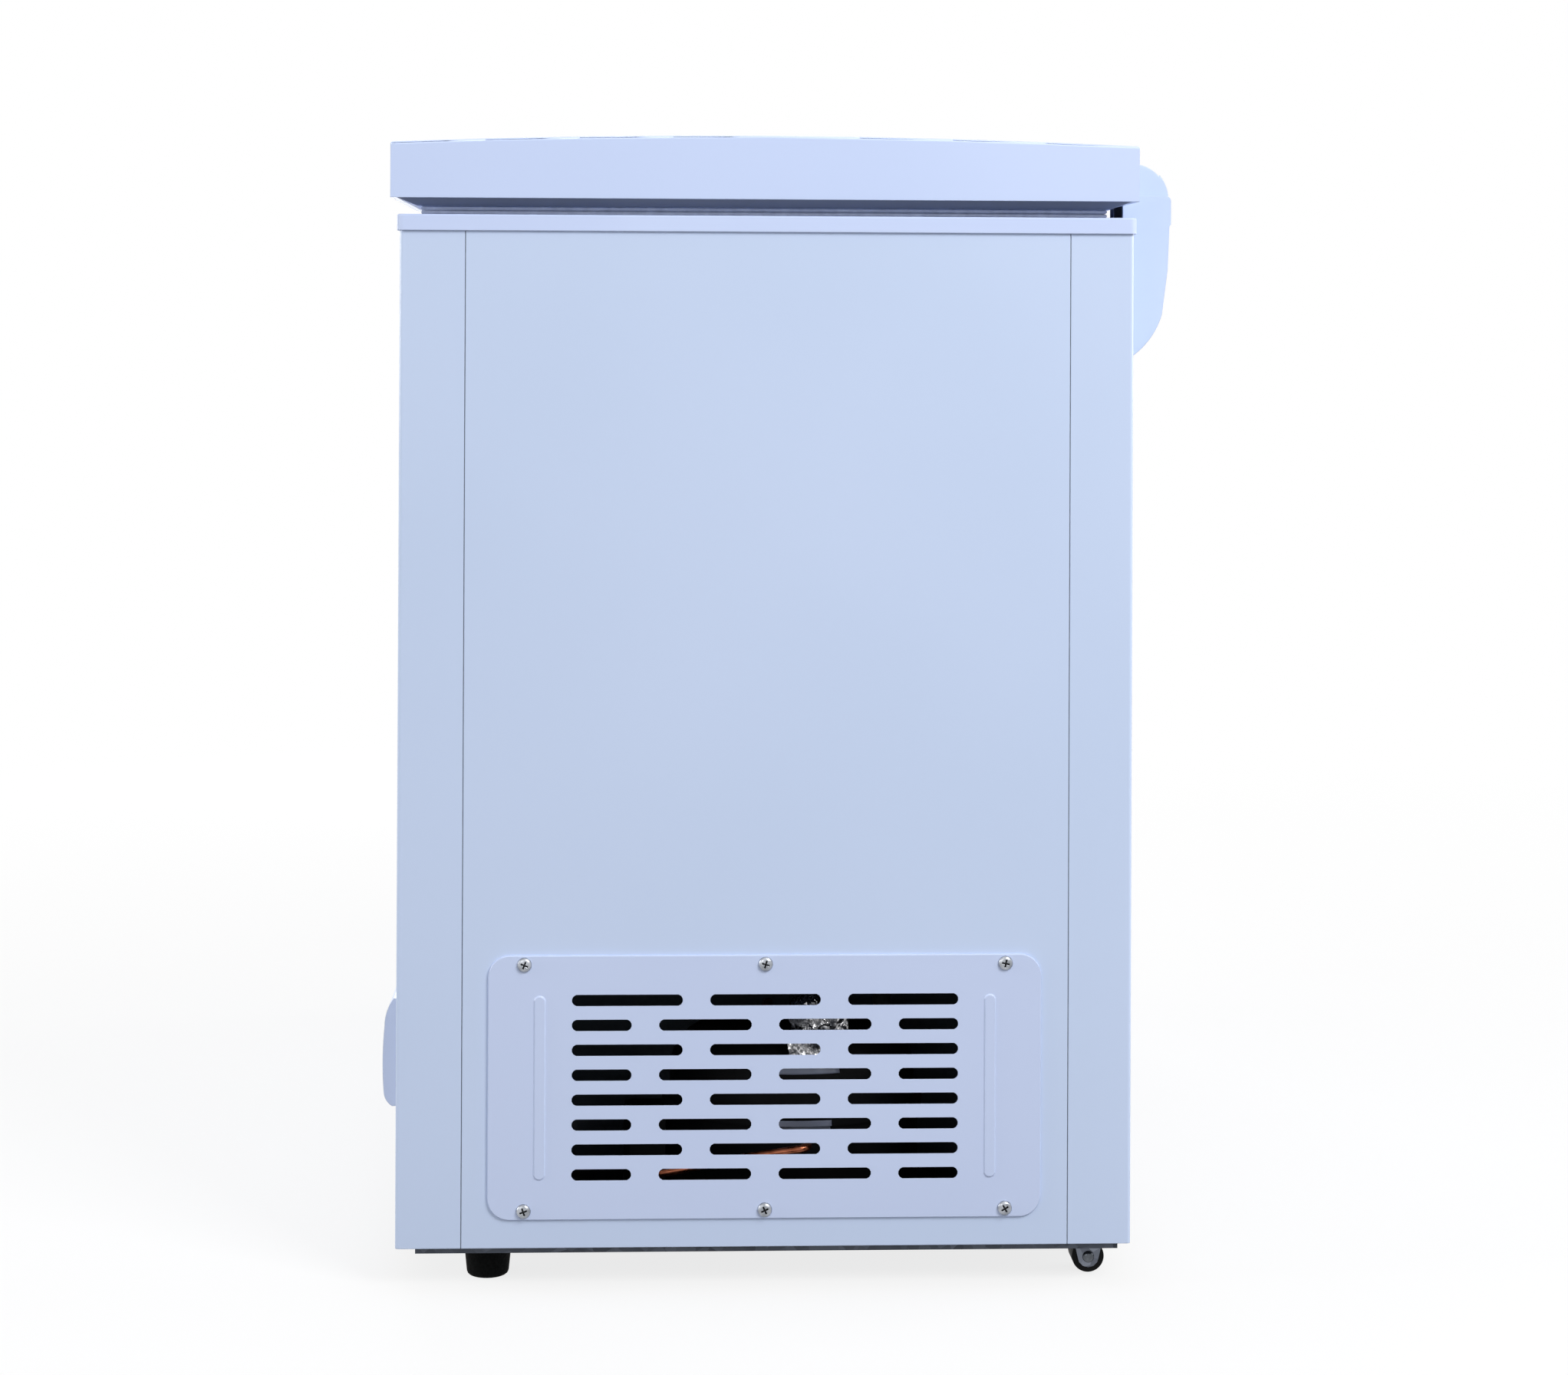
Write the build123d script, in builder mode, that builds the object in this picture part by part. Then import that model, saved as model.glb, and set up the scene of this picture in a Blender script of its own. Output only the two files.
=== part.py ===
from build123d import *
import os
from math import acos, cos, pi, radians, sin, sqrt

# Chest freezer in millimetres. +Z is up and the floor is z = 0. The front faces -Y, the lid is hinged
# at the rear (+Y), and the compressor stands at the +X end. The origin is under the middle of the
# overall box, so the cabinet sits a little forward of it to balance the hinge covers.

# Cabinet
CABINET_LENGTH = 905.0
CABINET_DEPTH = 543.0
SHEET = 0.8
CORNER_R = 3.0
FRONT_RETURN = 48.0
REAR_RETURN = 47.0
SEAM_GAP = 0.6
LAP = 12.0
FIT = 0.3

# Heights, one on top of the other
RAIL_HEIGHT = 5.0
PANEL_REVEAL = 748.0
TRIM_HEIGHT = 12.0
LID_GAP = 12.0
LID_SKIRT = 41.0
LID_CROWN = 6.0

# Outline beyond the cabinet
TRIM_PROUD = 2.0
LID_FRONT_OVERHANG = 6.5
LID_REAR_OVERHANG = 3.0
LID_END_OVERHANG = 5.5
CONTROL_PROUD = 13.5
HINGE_PROUD = 41.8
CATCH_PROUD = 1.2

# Insulated walls, storage space and compressor bay
WALL = 55.0
FLOOR_FOAM = 58.0
LINER_SHEET = 0.8
LINER_R = 14.0
TRIM_WALL = 2.0
TRIM_LIP = 1.8
JOINT_GAP = 0.2
BAY_LENGTH = 205.0
BAY_HEIGHT = 230.0
STEP_FOAM = 45.0
BASE_SHEET = 1.0
BASE_RIM = 14.0
JACKET = 7.0
COIL_POCKET = 6.0

# Lid
LID_R = 2.0
LID_HEM = 4.5
BORDER_RUN = 13.7
BORDER_DROP = 5.5
LINER_WALL = 1.5
SEAT_WIDTH = 17.0
RECESS_RISE = 8.0
RECESS_RUN = 10.0
GASKET_WIDTH = 13.0
GASKET_GAP = 0.3

# Support rails, feet and rollers
RAIL_WIDTH = 74.0
RAIL_END_INSET = 5.0
RAIL_FRONT_INSET = 14.5
RAIL_REAR_INSET = 9.0
RAIL_SHEET = 1.0
FOOT_R = 18.0
FOOT_TAPER = 2.2
FOOT_RIM = 3.0
FOOT_EDGE = 2.0
FOOT_SETBACK = 66.0
ROLLER_R = 12.0
ROLLER_LENGTH = 21.0
ROLLER_SETBACK = 27.0
ROLLER_PLAY = 0.5
ROLLER_TOP_GAP = 2.0
CHEEK = 1.5
CHEEK_R = 8.0
BRACKET_WIDTH = 22.0
BRACKET_SHEET = 1.0
AXLE_R = 3.0
AXLE_HEAD_R = 4.4
AXLE_HEAD = 2.2
RUNNING = 0.06

# Slotted vent cover
VENT_WIDTH = 408.0
VENT_HEIGHT = 194.0
VENT_R = 16.0
VENT_RISE = 118.0
VENT_DEPTH = 2.0
VENT_SHEET = 0.8
VENT_LAND = 16.0
SLOT_ROWS = 8
SLOT_PITCH = 18.3
SLOT_HEIGHT = 8.4
SLOT_GAP = 20.3
SLOT_LONG = 81.4
SLOT_MID = 68.1
BEAD_OFFSET = 166.0
BEAD_LENGTH = 135.5
BEAD_WIDTH = 9.0
BEAD_RISE = 1.0
VENT_SCREW_OFFSET = 177.4
VENT_SCREW_EDGE = 6.6
SCREW_HEAD_R = 5.4
SCREW_HEAD = 2.6
SCREW_R = 2.0
SCREW_REACH = 7.0

# Compressor and its pipes
COMPRESSOR_END = 105.0
COMPRESSOR_SHIFT = 25.0
SHELL_X = 150.0
SHELL_Y = 195.0
SHELL_BASE = 8.0
SHELL_LOWER = 68.0
SHELL_CUP = 10.0
SHELL_UPPER = 50.0
SHELL_DOME_RUN = 12.0
SHELL_DOME_DROP = 22.0
SHELL_CAP = 12.0
SHELL_CAP_RUN = 20.0
SHELL_BAND = 5.0
SHELL_STEP = 3.0
GROMMET_R = 11.0
FOOT_PLATE = 3.0
FOOT_PITCH_X = 100.0
FOOT_PITCH_Y = 204.0
BOLT_R = 3.0
SUCTION_R = 4.0
DISCHARGE_R = 3.0
PROCESS_R = 3.2
CAPILLARY_R = 1.2
SLEEVE_R = 13.0
DRIER_R = 9.0
DRIER_LENGTH = 84.0
DRIER_NECK = 4.0
PIPE_END_INSET = 51.0

# Controls
CONTROL_HEIGHT = 80.5
CONTROL_WIDTH = 150.0
CONTROL_END = 45.0
CONTROL_RISE = 93.0
KNOB_R = 19.0
KNOB_PLAY = 3.0
KNOB_WELL = 9.0
KNOB_STEM_R = 3.0
KNOB_OFFSET = 34.0
LAMP_WIDTH = 9.0
LAMP_HEIGHT = 3.0
LAMP_PITCH = 16.0

# Hinges: distances are measured behind the rear face and above the floor
HINGE_END = 111.0
PIN_OFFSET = 12.0
PIN_RISE = 6.0
PIN_R = 3.0
KNUCKLE_R = 6.5
HINGE_COVER_WIDTH = 62.0
COVER_WALL = 1.5
HOOD_R = 27.0
HOOD_LIP_R = 28.0
HOOD_LIP_ANGLE = 41.0
HOOD_SIDE_PLAY = 0.6
LID_OPENING = 80.0
TAIL_REACH = 15.0
TAIL_ANGLE = 35.0
TAIL_PIN_R = 2.5
ROD_R = 2.5
HINGE_SHEET = 2.0
LEAF_SHEET = 1.5
BASE_HALF = 20.0
LEAF_HALF = 16.0
SPRING_R = 5.5
SPRING_WIRE = 2.2
SPRING_TURNS = 5
SPRING_SIDES = 10
SPRING_LENGTH = 38.0
BACKING = 3.0
HINGE_SCREW_R = 2.5

# Hanging basket
BASKET_LENGTH = 230.0
BASKET_DROP = 190.0
BASKET_SIDE_PLAY = 8.0
BASKET_END = 90.0
WIRE = 3.2
RIM_WIRE = 4.4
CROSS_WIRES = 6
LONG_WIRES = 6

# Derived levels and faces
FOOT_HEIGHT = 2 * ROLLER_R + ROLLER_TOP_GAP
PANEL_BOTTOM = FOOT_HEIGHT + RAIL_HEIGHT
VENT_Z = PANEL_BOTTOM + VENT_RISE
CONTROL_Z = PANEL_BOTTOM + CONTROL_RISE
TRIM_BOTTOM = PANEL_BOTTOM + PANEL_REVEAL
TRIM_TOP = TRIM_BOTTOM + TRIM_HEIGHT
PANEL_TOP = TRIM_TOP - TRIM_WALL
PANEL_HEIGHT = PANEL_TOP - PANEL_BOTTOM
LID_BOTTOM = TRIM_TOP + LID_GAP
LID_EDGE_TOP = LID_BOTTOM + LID_SKIRT
LID_TOP = LID_EDGE_TOP + LID_CROWN
OVERALL_DEPTH = CONTROL_PROUD + CABINET_DEPTH + HINGE_PROUD + CATCH_PROUD
FRONT_Y = CONTROL_PROUD - OVERALL_DEPTH / 2
REAR_Y = FRONT_Y + CABINET_DEPTH
MID_Y = (FRONT_Y + REAR_Y) / 2
END_X = CABINET_LENGTH / 2
BASE_TOP = PANEL_BOTTOM + BASE_SHEET
LINER_LENGTH = CABINET_LENGTH - 2 * WALL
LINER_DEPTH = CABINET_DEPTH - 2 * WALL
LINER_FLOOR = BASE_TOP + FLOOR_FOAM
BAY_X = END_X - BAY_LENGTH
BAY_TOP = BASE_TOP + BAY_HEIGHT
STEP_X = BAY_X - SHEET - STEP_FOAM
STEP_TOP = BAY_TOP + SHEET + STEP_FOAM
LID_FRONT = FRONT_Y - LID_FRONT_OVERHANG
LID_REAR = REAR_Y + LID_REAR_OVERHANG
LID_MID = (LID_FRONT + LID_REAR) / 2
LID_DEPTH = LID_REAR - LID_FRONT
LID_LENGTH = CABINET_LENGTH + 2 * LID_END_OVERHANG
SEAT_Z = LID_BOTTOM - BORDER_DROP
PIN_Z = LID_BOTTOM + PIN_RISE
KNOB_WELL_R = KNOB_R + KNOB_PLAY
SIDES = (("left", -1), ("right", 1))

os.makedirs("parts", exist_ok=True)


def keep(piece, label):
    """Name a finished piece and write its file."""
    piece.part.label = label
    export_step(piece.part, f"parts/{label}.step")


def cavity(grow, bottom, top, mode):
    """Storage space with its step over the compressor bay, grown outward on every side."""
    low_start = -LINER_LENGTH / 2 - grow
    low_end = STEP_X + grow
    with BuildSketch(Plane.XY.offset(STEP_TOP - grow)) as upper:
        with Locations((0, MID_Y)):
            RectangleRounded(LINER_LENGTH + 2 * grow, LINER_DEPTH + 2 * grow, LINER_R + grow)
    extrude(upper.sketch, amount=top - STEP_TOP + grow, mode=mode)
    with BuildSketch(Plane.XY.offset(bottom)) as lower:
        with Locations(((low_start + low_end) / 2, MID_Y)):
            RectangleRounded(low_end - low_start, LINER_DEPTH + 2 * grow, LINER_R + grow)
    extrude(lower.sketch, amount=STEP_TOP - bottom, mode=mode)


def mitre(half_length, half_depth, reach, bottom, height):
    """Open a thin diagonal joint at the four corners of a frame drawn about the middle of the cabinet."""
    with BuildSketch(Plane.XY.offset(bottom)) as joints:
        for cx in (-1, 1):
            for cy in (-1, 1):
                with Locations(Location((cx * half_length, MID_Y + cy * half_depth), 45 * cx * cy)):
                    Rectangle(reach, JOINT_GAP)
    extrude(joints.sketch, amount=height, mode=Mode.SUBTRACT)


def lid_block(inset, bottom, edge_radius=0.0):
    """Crowned lid outline drawn inset all round, with its top edges rounded if a radius is given."""
    front = LID_FRONT + inset
    rear = LID_REAR - inset
    edge_top = LID_EDGE_TOP - inset
    with BuildPart() as block:
        with BuildSketch(Plane.YZ):
            with BuildLine():
                Polyline((rear, edge_top), (rear, bottom), (front, bottom), (front, edge_top))
                ThreePointArc((front, edge_top), (LID_MID, LID_TOP - inset), (rear, edge_top))
            make_face()
        extrude(amount=LID_LENGTH / 2 - inset, both=True)
        if edge_radius:
            fillet(block.faces().sort_by(Axis.Z)[-1].edges(), edge_radius)
    return block.part


def hinge_plane(x):
    """Side-view plane of a hinge: first value behind the rear face, second value above the floor."""
    return Plane(origin=(x, REAR_Y, 0), x_dir=(0, 1, 0), z_dir=(1, 0, 0))


def stud(radius, sides=12):
    """Many-sided round that stays inside its radius."""
    RegularPolygon(radius, sides)


def bore(radius, sides=12):
    """Many-sided round hole that stays outside its radius."""
    RegularPolygon(radius, sides, major_radius=False, mode=Mode.SUBTRACT)


def oval(width, depth, sides=28):
    """Many-sided oval."""
    turns = [2 * pi * k / sides for k in range(sides)]
    Polygon(*[(width / 2 * cos(turn), depth / 2 * sin(turn)) for turn in turns], align=None)


def slot(length, height, turn=0):
    """Slot with many-sided round ends."""
    with Locations(Location((0, 0), turn)):
        Rectangle(length - height, height)
        with Locations((-(length - height) / 2, 0), ((length - height) / 2, 0)):
            RegularPolygon(height / 2, 12, major_radius=False, rotation=15)


def tube(points, bend, radius, sides=8):
    """Tube along straight runs, with every corner cut by a short straight."""
    route_points = [Vector(*points[0])]
    for before, corner, after in zip(points, points[1:], points[2:]):
        middle = Vector(*corner)
        route_points.append(middle + (Vector(*before) - middle).normalized() * bend)
        route_points.append(middle + (Vector(*after) - middle).normalized() * bend)
    route_points.append(Vector(*points[-1]))
    with BuildLine() as route:
        Polyline(*route_points)
    with BuildSketch(Plane(origin=route.line @ 0, z_dir=route.line % 0)) as section:
        RegularPolygon(radius, sides)
    sweep(section.sketch, path=route.line, transition=Transition.RIGHT)


def mitred_tube(points, width):
    """Square tube along straight runs with mitred corners."""
    with BuildLine() as route:
        Polyline(*points)
    with BuildSketch(Plane(origin=route.line @ 0, z_dir=route.line % 0)) as section:
        Rectangle(width, width)
    sweep(section.sketch, path=route.line, transition=Transition.RIGHT)


# Front and rear wrappers are folded round the corners and end at a seam on each end face.
with BuildPart() as front_panel:
    with BuildSketch(Plane.XY.offset(PANEL_BOTTOM)):
        with BuildLine():
            FilletPolyline(
                (-END_X, FRONT_Y + FRONT_RETURN),
                (-END_X, FRONT_Y),
                (END_X, FRONT_Y),
                (END_X, FRONT_Y + FRONT_RETURN),
                radius=CORNER_R,
            )
            offset(amount=SHEET, side=Side.LEFT)
        make_face()
    extrude(amount=PANEL_HEIGHT)
    knob_x = END_X - CONTROL_END - CONTROL_WIDTH / 2 + KNOB_OFFSET
    knob_z = CONTROL_Z + CONTROL_HEIGHT / 2
    with BuildSketch(Plane.XZ.offset(-FRONT_Y)):
        with Locations((knob_x, knob_z)):
            stud(KNOB_STEM_R + 2)
    extrude(amount=-2 * SHEET, mode=Mode.SUBTRACT)
keep(front_panel, "front_panel")

GLAND_X = END_X - 150
GLAND_Z = PANEL_BOTTOM + 59
GLAND_R = 8.0
hinge_x = END_X - HINGE_END
SCREW_LOW_Z = TRIM_BOTTOM - 70
SCREW_HIGH_Z = TRIM_BOTTOM - 18
with BuildPart() as rear_panel:
    with BuildSketch(Plane.XY.offset(PANEL_BOTTOM)):
        with BuildLine():
            FilletPolyline(
                (END_X, REAR_Y - REAR_RETURN),
                (END_X, REAR_Y),
                (-END_X, REAR_Y),
                (-END_X, REAR_Y - REAR_RETURN),
                radius=CORNER_R,
            )
            offset(amount=SHEET, side=Side.LEFT)
        make_face()
    extrude(amount=PANEL_HEIGHT)
    with BuildSketch(Plane.XZ.offset(-REAR_Y)):
        with Locations((GLAND_X, GLAND_Z)):
            Rectangle(2 * GLAND_R + 2 * FIT, 2 * GLAND_R + 2 * FIT)
        for side, sx in SIDES:
            for z in (SCREW_LOW_Z, SCREW_HIGH_Z):
                with Locations((sx * hinge_x, z)):
                    RegularPolygon(HINGE_SCREW_R + FIT, 6)
    extrude(amount=2 * SHEET, mode=Mode.SUBTRACT)
keep(rear_panel, "rear_panel")

# End panels lie flush between the wrappers on lap strips that run behind both seams.
seam_front = FRONT_Y + FRONT_RETURN
seam_rear = REAR_Y - REAR_RETURN
panel_width = seam_rear - seam_front - 2 * SEAM_GAP
for side, sx in SIDES:
    with BuildPart() as end_panel:
        with BuildSketch(Plane.XY.offset(PANEL_BOTTOM)):
            with Locations((sx * (END_X - SHEET / 2), (seam_front + seam_rear) / 2)):
                Rectangle(SHEET, panel_width)
            for seam in (seam_front, seam_rear):
                with Locations((sx * (END_X - 1.5 * SHEET), seam)):
                    Rectangle(SHEET, 2 * LAP)
        extrude(amount=PANEL_HEIGHT)
        if sx > 0:
            with BuildSketch(Plane.YZ.offset(END_X)):
                with Locations((MID_Y, VENT_Z)):
                    Rectangle(VENT_WIDTH - 2 * VENT_LAND, VENT_HEIGHT - 2 * VENT_LAND)
                for dy in (-VENT_SCREW_OFFSET, 0, VENT_SCREW_OFFSET):
                    for dz in (-1, 1):
                        with Locations((MID_Y + dy, VENT_Z + dz * (VENT_HEIGHT / 2 - VENT_SCREW_EDGE))):
                            RegularPolygon(SCREW_R + FIT, 6)
            extrude(amount=-SHEET, mode=Mode.SUBTRACT)
    keep(end_panel, f"{side}_end_panel")

# Base plate: a shallow pan inside the wrappers.
inner_length = CABINET_LENGTH - 4 * SHEET - 2 * FIT
inner_depth = CABINET_DEPTH - 2 * SHEET - 3 * FIT
comp_x = END_X - COMPRESSOR_END
comp_y = MID_Y + COMPRESSOR_SHIFT
with BuildPart() as base_plate:
    with BuildSketch(Plane.XY.offset(PANEL_BOTTOM)):
        with Locations((0, MID_Y)):
            Rectangle(inner_length, inner_depth)
    extrude(amount=BASE_RIM)
    with BuildSketch(Plane.XY.offset(BASE_TOP)):
        with Locations((0, MID_Y)):
            Rectangle(inner_length - 2 * BASE_SHEET, inner_depth - 2 * BASE_SHEET)
    extrude(amount=BASE_RIM, mode=Mode.SUBTRACT)
keep(base_plate, "base_plate")

# A channel rail under each end carries one foot and one roller.
rail_x = END_X - RAIL_END_INSET - RAIL_WIDTH / 2
foot_y = FRONT_Y + FOOT_SETBACK
roller_y = REAR_Y - ROLLER_SETBACK
for side, sx in SIDES:
    with BuildPart() as rail:
        with BuildSketch(Plane.XZ.offset(-FRONT_Y - RAIL_FRONT_INSET)):
            with Locations((sx * rail_x, FOOT_HEIGHT + RAIL_HEIGHT / 2)):
                Rectangle(RAIL_WIDTH, RAIL_HEIGHT)
            with Locations((sx * rail_x, FOOT_HEIGHT + RAIL_HEIGHT / 2 + RAIL_SHEET)):
                Rectangle(RAIL_WIDTH - 2 * RAIL_SHEET, RAIL_HEIGHT, mode=Mode.SUBTRACT)
        extrude(amount=-(CABINET_DEPTH - RAIL_FRONT_INSET - RAIL_REAR_INSET))
    keep(rail, f"{side}_rail")

    with BuildPart() as foot:
        with BuildSketch():
            with Locations((sx * rail_x, foot_y)):
                stud(FOOT_R, 24)
        extrude(amount=FOOT_HEIGHT)
        sole = foot.faces().sort_by(Axis.Z)[0]
        chamfer(sole.edges(), FOOT_TAPER, FOOT_HEIGHT - FOOT_RIM, reference=sole)
        sole = foot.faces().sort_by(Axis.Z)[0]
        chamfer(sole.edges(), FOOT_EDGE, FOOT_EDGE, reference=sole)
    keep(foot, f"{side}_front_foot")

    with BuildPart() as bracket:
        with BuildSketch(Plane.XY.offset(FOOT_HEIGHT - BRACKET_SHEET)):
            with Locations((sx * rail_x, roller_y)):
                Rectangle(ROLLER_LENGTH + 2 * ROLLER_PLAY + 2 * CHEEK, BRACKET_WIDTH)
        extrude(amount=BRACKET_SHEET)
        for end in (-1, 1):
            inner = sx * rail_x + end * (ROLLER_LENGTH / 2 + ROLLER_PLAY)
            with BuildSketch(Plane.YZ.offset(inner)):
                with Locations((roller_y, ROLLER_R)):
                    stud(CHEEK_R)
                with BuildLine():
                    Polyline(
                        (roller_y - CHEEK_R, ROLLER_R),
                        (roller_y - BRACKET_WIDTH / 2, FOOT_HEIGHT - BRACKET_SHEET),
                        (roller_y + BRACKET_WIDTH / 2, FOOT_HEIGHT - BRACKET_SHEET),
                        (roller_y + CHEEK_R, ROLLER_R),
                        close=True,
                    )
                make_face()
                with Locations((roller_y, ROLLER_R)):
                    bore(AXLE_R + RUNNING)
            extrude(amount=end * CHEEK)
    keep(bracket, f"{side}_roller_bracket")

    with BuildPart() as roller:
        with BuildSketch(Plane.YZ.offset(sx * rail_x)):
            with Locations((roller_y, ROLLER_R)):
                Circle(ROLLER_R)
                bore(AXLE_R + RUNNING)
        extrude(amount=ROLLER_LENGTH / 2, both=True)
    keep(roller, f"{side}_roller")

with BuildPart() as roller_axles:
    half = ROLLER_LENGTH / 2 + ROLLER_PLAY + CHEEK
    for side, sx in SIDES:
        with BuildSketch(Plane.YZ.offset(sx * rail_x)):
            with Locations((roller_y, ROLLER_R)):
                Circle(AXLE_R)
        extrude(amount=half, both=True)
        for end in (-1, 1):
            with BuildSketch(Plane.YZ.offset(sx * rail_x + end * half)):
                with Locations((roller_y, ROLLER_R)):
                    stud(AXLE_HEAD_R)
            extrude(amount=end * AXLE_HEAD)
keep(roller_axles, "roller_axles")

# Plastic frame that caps the wall all round the opening.
with BuildPart() as top_trim:
    with BuildSketch(Plane.XY.offset(TRIM_BOTTOM)):
        with Locations((0, MID_Y)):
            RectangleRounded(
                CABINET_LENGTH + 2 * TRIM_PROUD, CABINET_DEPTH + 2 * TRIM_PROUD, CORNER_R + TRIM_PROUD
            )
            RectangleRounded(
                LINER_LENGTH - 2 * FIT - 2 * TRIM_LIP,
                LINER_DEPTH - 2 * FIT - 2 * TRIM_LIP,
                LINER_R - FIT - TRIM_LIP,
                mode=Mode.SUBTRACT,
            )
    extrude(amount=TRIM_HEIGHT)
    chamfer(top_trim.faces().sort_by(Axis.Z)[-1].outer_wire().edges(), 0.8)
    with BuildSketch(Plane.XY.offset(TRIM_BOTTOM)):
        with Locations((0, MID_Y)):
            Rectangle(CABINET_LENGTH + 2 * FIT, CABINET_DEPTH + 2 * FIT)
            RectangleRounded(
                LINER_LENGTH - 2 * FIT, LINER_DEPTH - 2 * FIT, LINER_R - FIT, mode=Mode.SUBTRACT
            )
    extrude(amount=TRIM_HEIGHT - TRIM_WALL, mode=Mode.SUBTRACT)
    # Mitred corners: the frame is four lengths of one profile.
    mitre((CABINET_LENGTH - WALL) / 2, (CABINET_DEPTH - WALL) / 2, 2 * WALL, TRIM_BOTTOM, TRIM_HEIGHT)
keep(top_trim, "top_trim")

# Liner of the storage space.
with BuildPart() as inner_liner:
    cavity(LINER_SHEET, LINER_FLOOR - LINER_SHEET, PANEL_TOP, Mode.ADD)
    cavity(0, LINER_FLOOR, PANEL_TOP + 1, Mode.SUBTRACT)
    # The liner is made of sheets: four walls, the floor, and the riser and tread of the step.
    corner_reach = 3 * LINER_R
    mitre(LINER_LENGTH / 2, LINER_DEPTH / 2, corner_reach, LINER_FLOOR, PANEL_TOP - LINER_FLOOR)
    with BuildSketch(Plane.XY.offset(LINER_FLOOR)):
        for cy in (-1, 1):
            with Locations(Location((STEP_X, MID_Y + cy * LINER_DEPTH / 2), 45 * cy)):
                Rectangle(corner_reach, JOINT_GAP)
    extrude(amount=STEP_TOP - LINER_FLOOR, mode=Mode.SUBTRACT)
    with BuildSketch(Plane.XY.offset(LINER_FLOOR)):
        with Locations((0, MID_Y)):
            Rectangle(LINER_LENGTH + 4 * LINER_SHEET, LINER_DEPTH + 4 * LINER_SHEET)
    extrude(amount=JOINT_GAP, mode=Mode.SUBTRACT)
    with BuildSketch(Plane.XZ.offset(-MID_Y)):
        with BuildLine():
            Polyline(
                (STEP_X + LINER_SHEET, STEP_TOP - LINER_SHEET),
                (STEP_X + LINER_SHEET, STEP_TOP),
                (STEP_X, STEP_TOP),
                (STEP_X, STEP_TOP + JOINT_GAP),
                (LINER_LENGTH / 2 + 2 * LINER_SHEET, STEP_TOP + JOINT_GAP),
                (LINER_LENGTH / 2 + 2 * LINER_SHEET, STEP_TOP),
                (STEP_X + LINER_SHEET + JOINT_GAP, STEP_TOP),
                (STEP_X + LINER_SHEET + JOINT_GAP, STEP_TOP - LINER_SHEET),
                close=True,
            )
        make_face()
    extrude(amount=LINER_DEPTH / 2 + 2 * LINER_SHEET, both=True, mode=Mode.SUBTRACT)
keep(inner_liner, "inner_liner")

# L-shaped sheet that walls the compressor bay off from the insulation.
evap_gap = LINER_SHEET + FIT + 3.0
evap_x = LINER_LENGTH / 2 + evap_gap
cond_y = REAR_Y - SHEET - 3.2
cond_z = PANEL_BOTTOM + 119
cond_tail_x = END_X - 60
SUCTION_Y = MID_Y + 90
CAPILLARY_Y = MID_Y + 130
with BuildPart() as bay_panel:
    with BuildSketch(Plane.XZ.offset(-MID_Y)):
        with BuildLine():
            FilletPolyline(
                (BAY_X, BASE_TOP),
                (BAY_X, BAY_TOP),
                (END_X - 2 * SHEET - FIT, BAY_TOP),
                radius=2,
            )
            offset(amount=SHEET, side=Side.LEFT)
        make_face()
    extrude(amount=CABINET_DEPTH / 2 - SHEET - BASE_SHEET - 2 * FIT, both=True)
    with BuildSketch(Plane.XY.offset(BAY_TOP)):
        with Locations((evap_x, SUCTION_Y), (evap_x, CAPILLARY_Y)):
            Rectangle(10, 10)
        with Locations((cond_tail_x, cond_y)):
            Rectangle(9, 9)
    extrude(amount=SHEET, mode=Mode.SUBTRACT)
    with BuildSketch(Plane.YZ.offset(BAY_X)):
        with Locations((cond_y, cond_z)):
            Rectangle(9, 9)
    extrude(amount=-SHEET, mode=Mode.SUBTRACT)
keep(bay_panel, "bay_panel")

# Tube round the liner: it climbs, turns back at the top and comes down between its own turns.
EVAP_Z = STEP_TOP + 40
EVAP_PITCH = 48.0
EVAP_LOOPS = 3
EVAP_TUBE = 4.0
evap_y = LINER_DEPTH / 2 + evap_gap
corners = [(evap_x, evap_y), (-evap_x, evap_y), (-evap_x, -evap_y), (evap_x, -evap_y)]
climb = []
for k in range(4 * EVAP_LOOPS):
    cx, cy = corners[k % 4]
    climb.append((cx, MID_Y + cy, EVAP_Z + EVAP_PITCH * k / 2))
back = [(x, y, z + EVAP_PITCH) for x, y, z in reversed(climb)]
turn_y = MID_Y - 100
turn_z = climb[-1][2]
evap_route = [(evap_x, CAPILLARY_Y, BAY_TOP + SHEET), (evap_x, CAPILLARY_Y, EVAP_Z)]
evap_route += climb
evap_route += [(evap_x, turn_y, turn_z), (evap_x, turn_y, turn_z + EVAP_PITCH)]
evap_route += back
evap_route += [(evap_x, SUCTION_Y, EVAP_Z + EVAP_PITCH), (evap_x, SUCTION_Y, BAY_TOP + SHEET)]
with BuildPart() as evaporator_tube:
    mitred_tube(evap_route, EVAP_TUBE)
keep(evaporator_tube, "evaporator_tube")

# Tube that rejects the heat, laid to and fro behind the rear panel.
COND_PITCH = 74.0
COND_TUBE = 4.0
COND_RUNS = 8
cond_left = -END_X + 60
cond_right = BAY_X - 50
cond_route = [(BAY_X + 12, cond_y, cond_z)]
for k in range(COND_RUNS - 1):
    x = cond_left if k % 2 == 0 else cond_right
    cond_route.append((x, cond_y, cond_z + k * COND_PITCH))
    cond_route.append((x, cond_y, cond_z + (k + 1) * COND_PITCH))
cond_top = cond_z + (COND_RUNS - 1) * COND_PITCH
cond_route += [(cond_tail_x, cond_y, cond_top), (cond_tail_x, cond_y, BAY_TOP)]
with BuildPart() as condenser_tube:
    mitred_tube(cond_route, COND_TUBE)
keep(condenser_tube, "condenser_tube")

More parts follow.
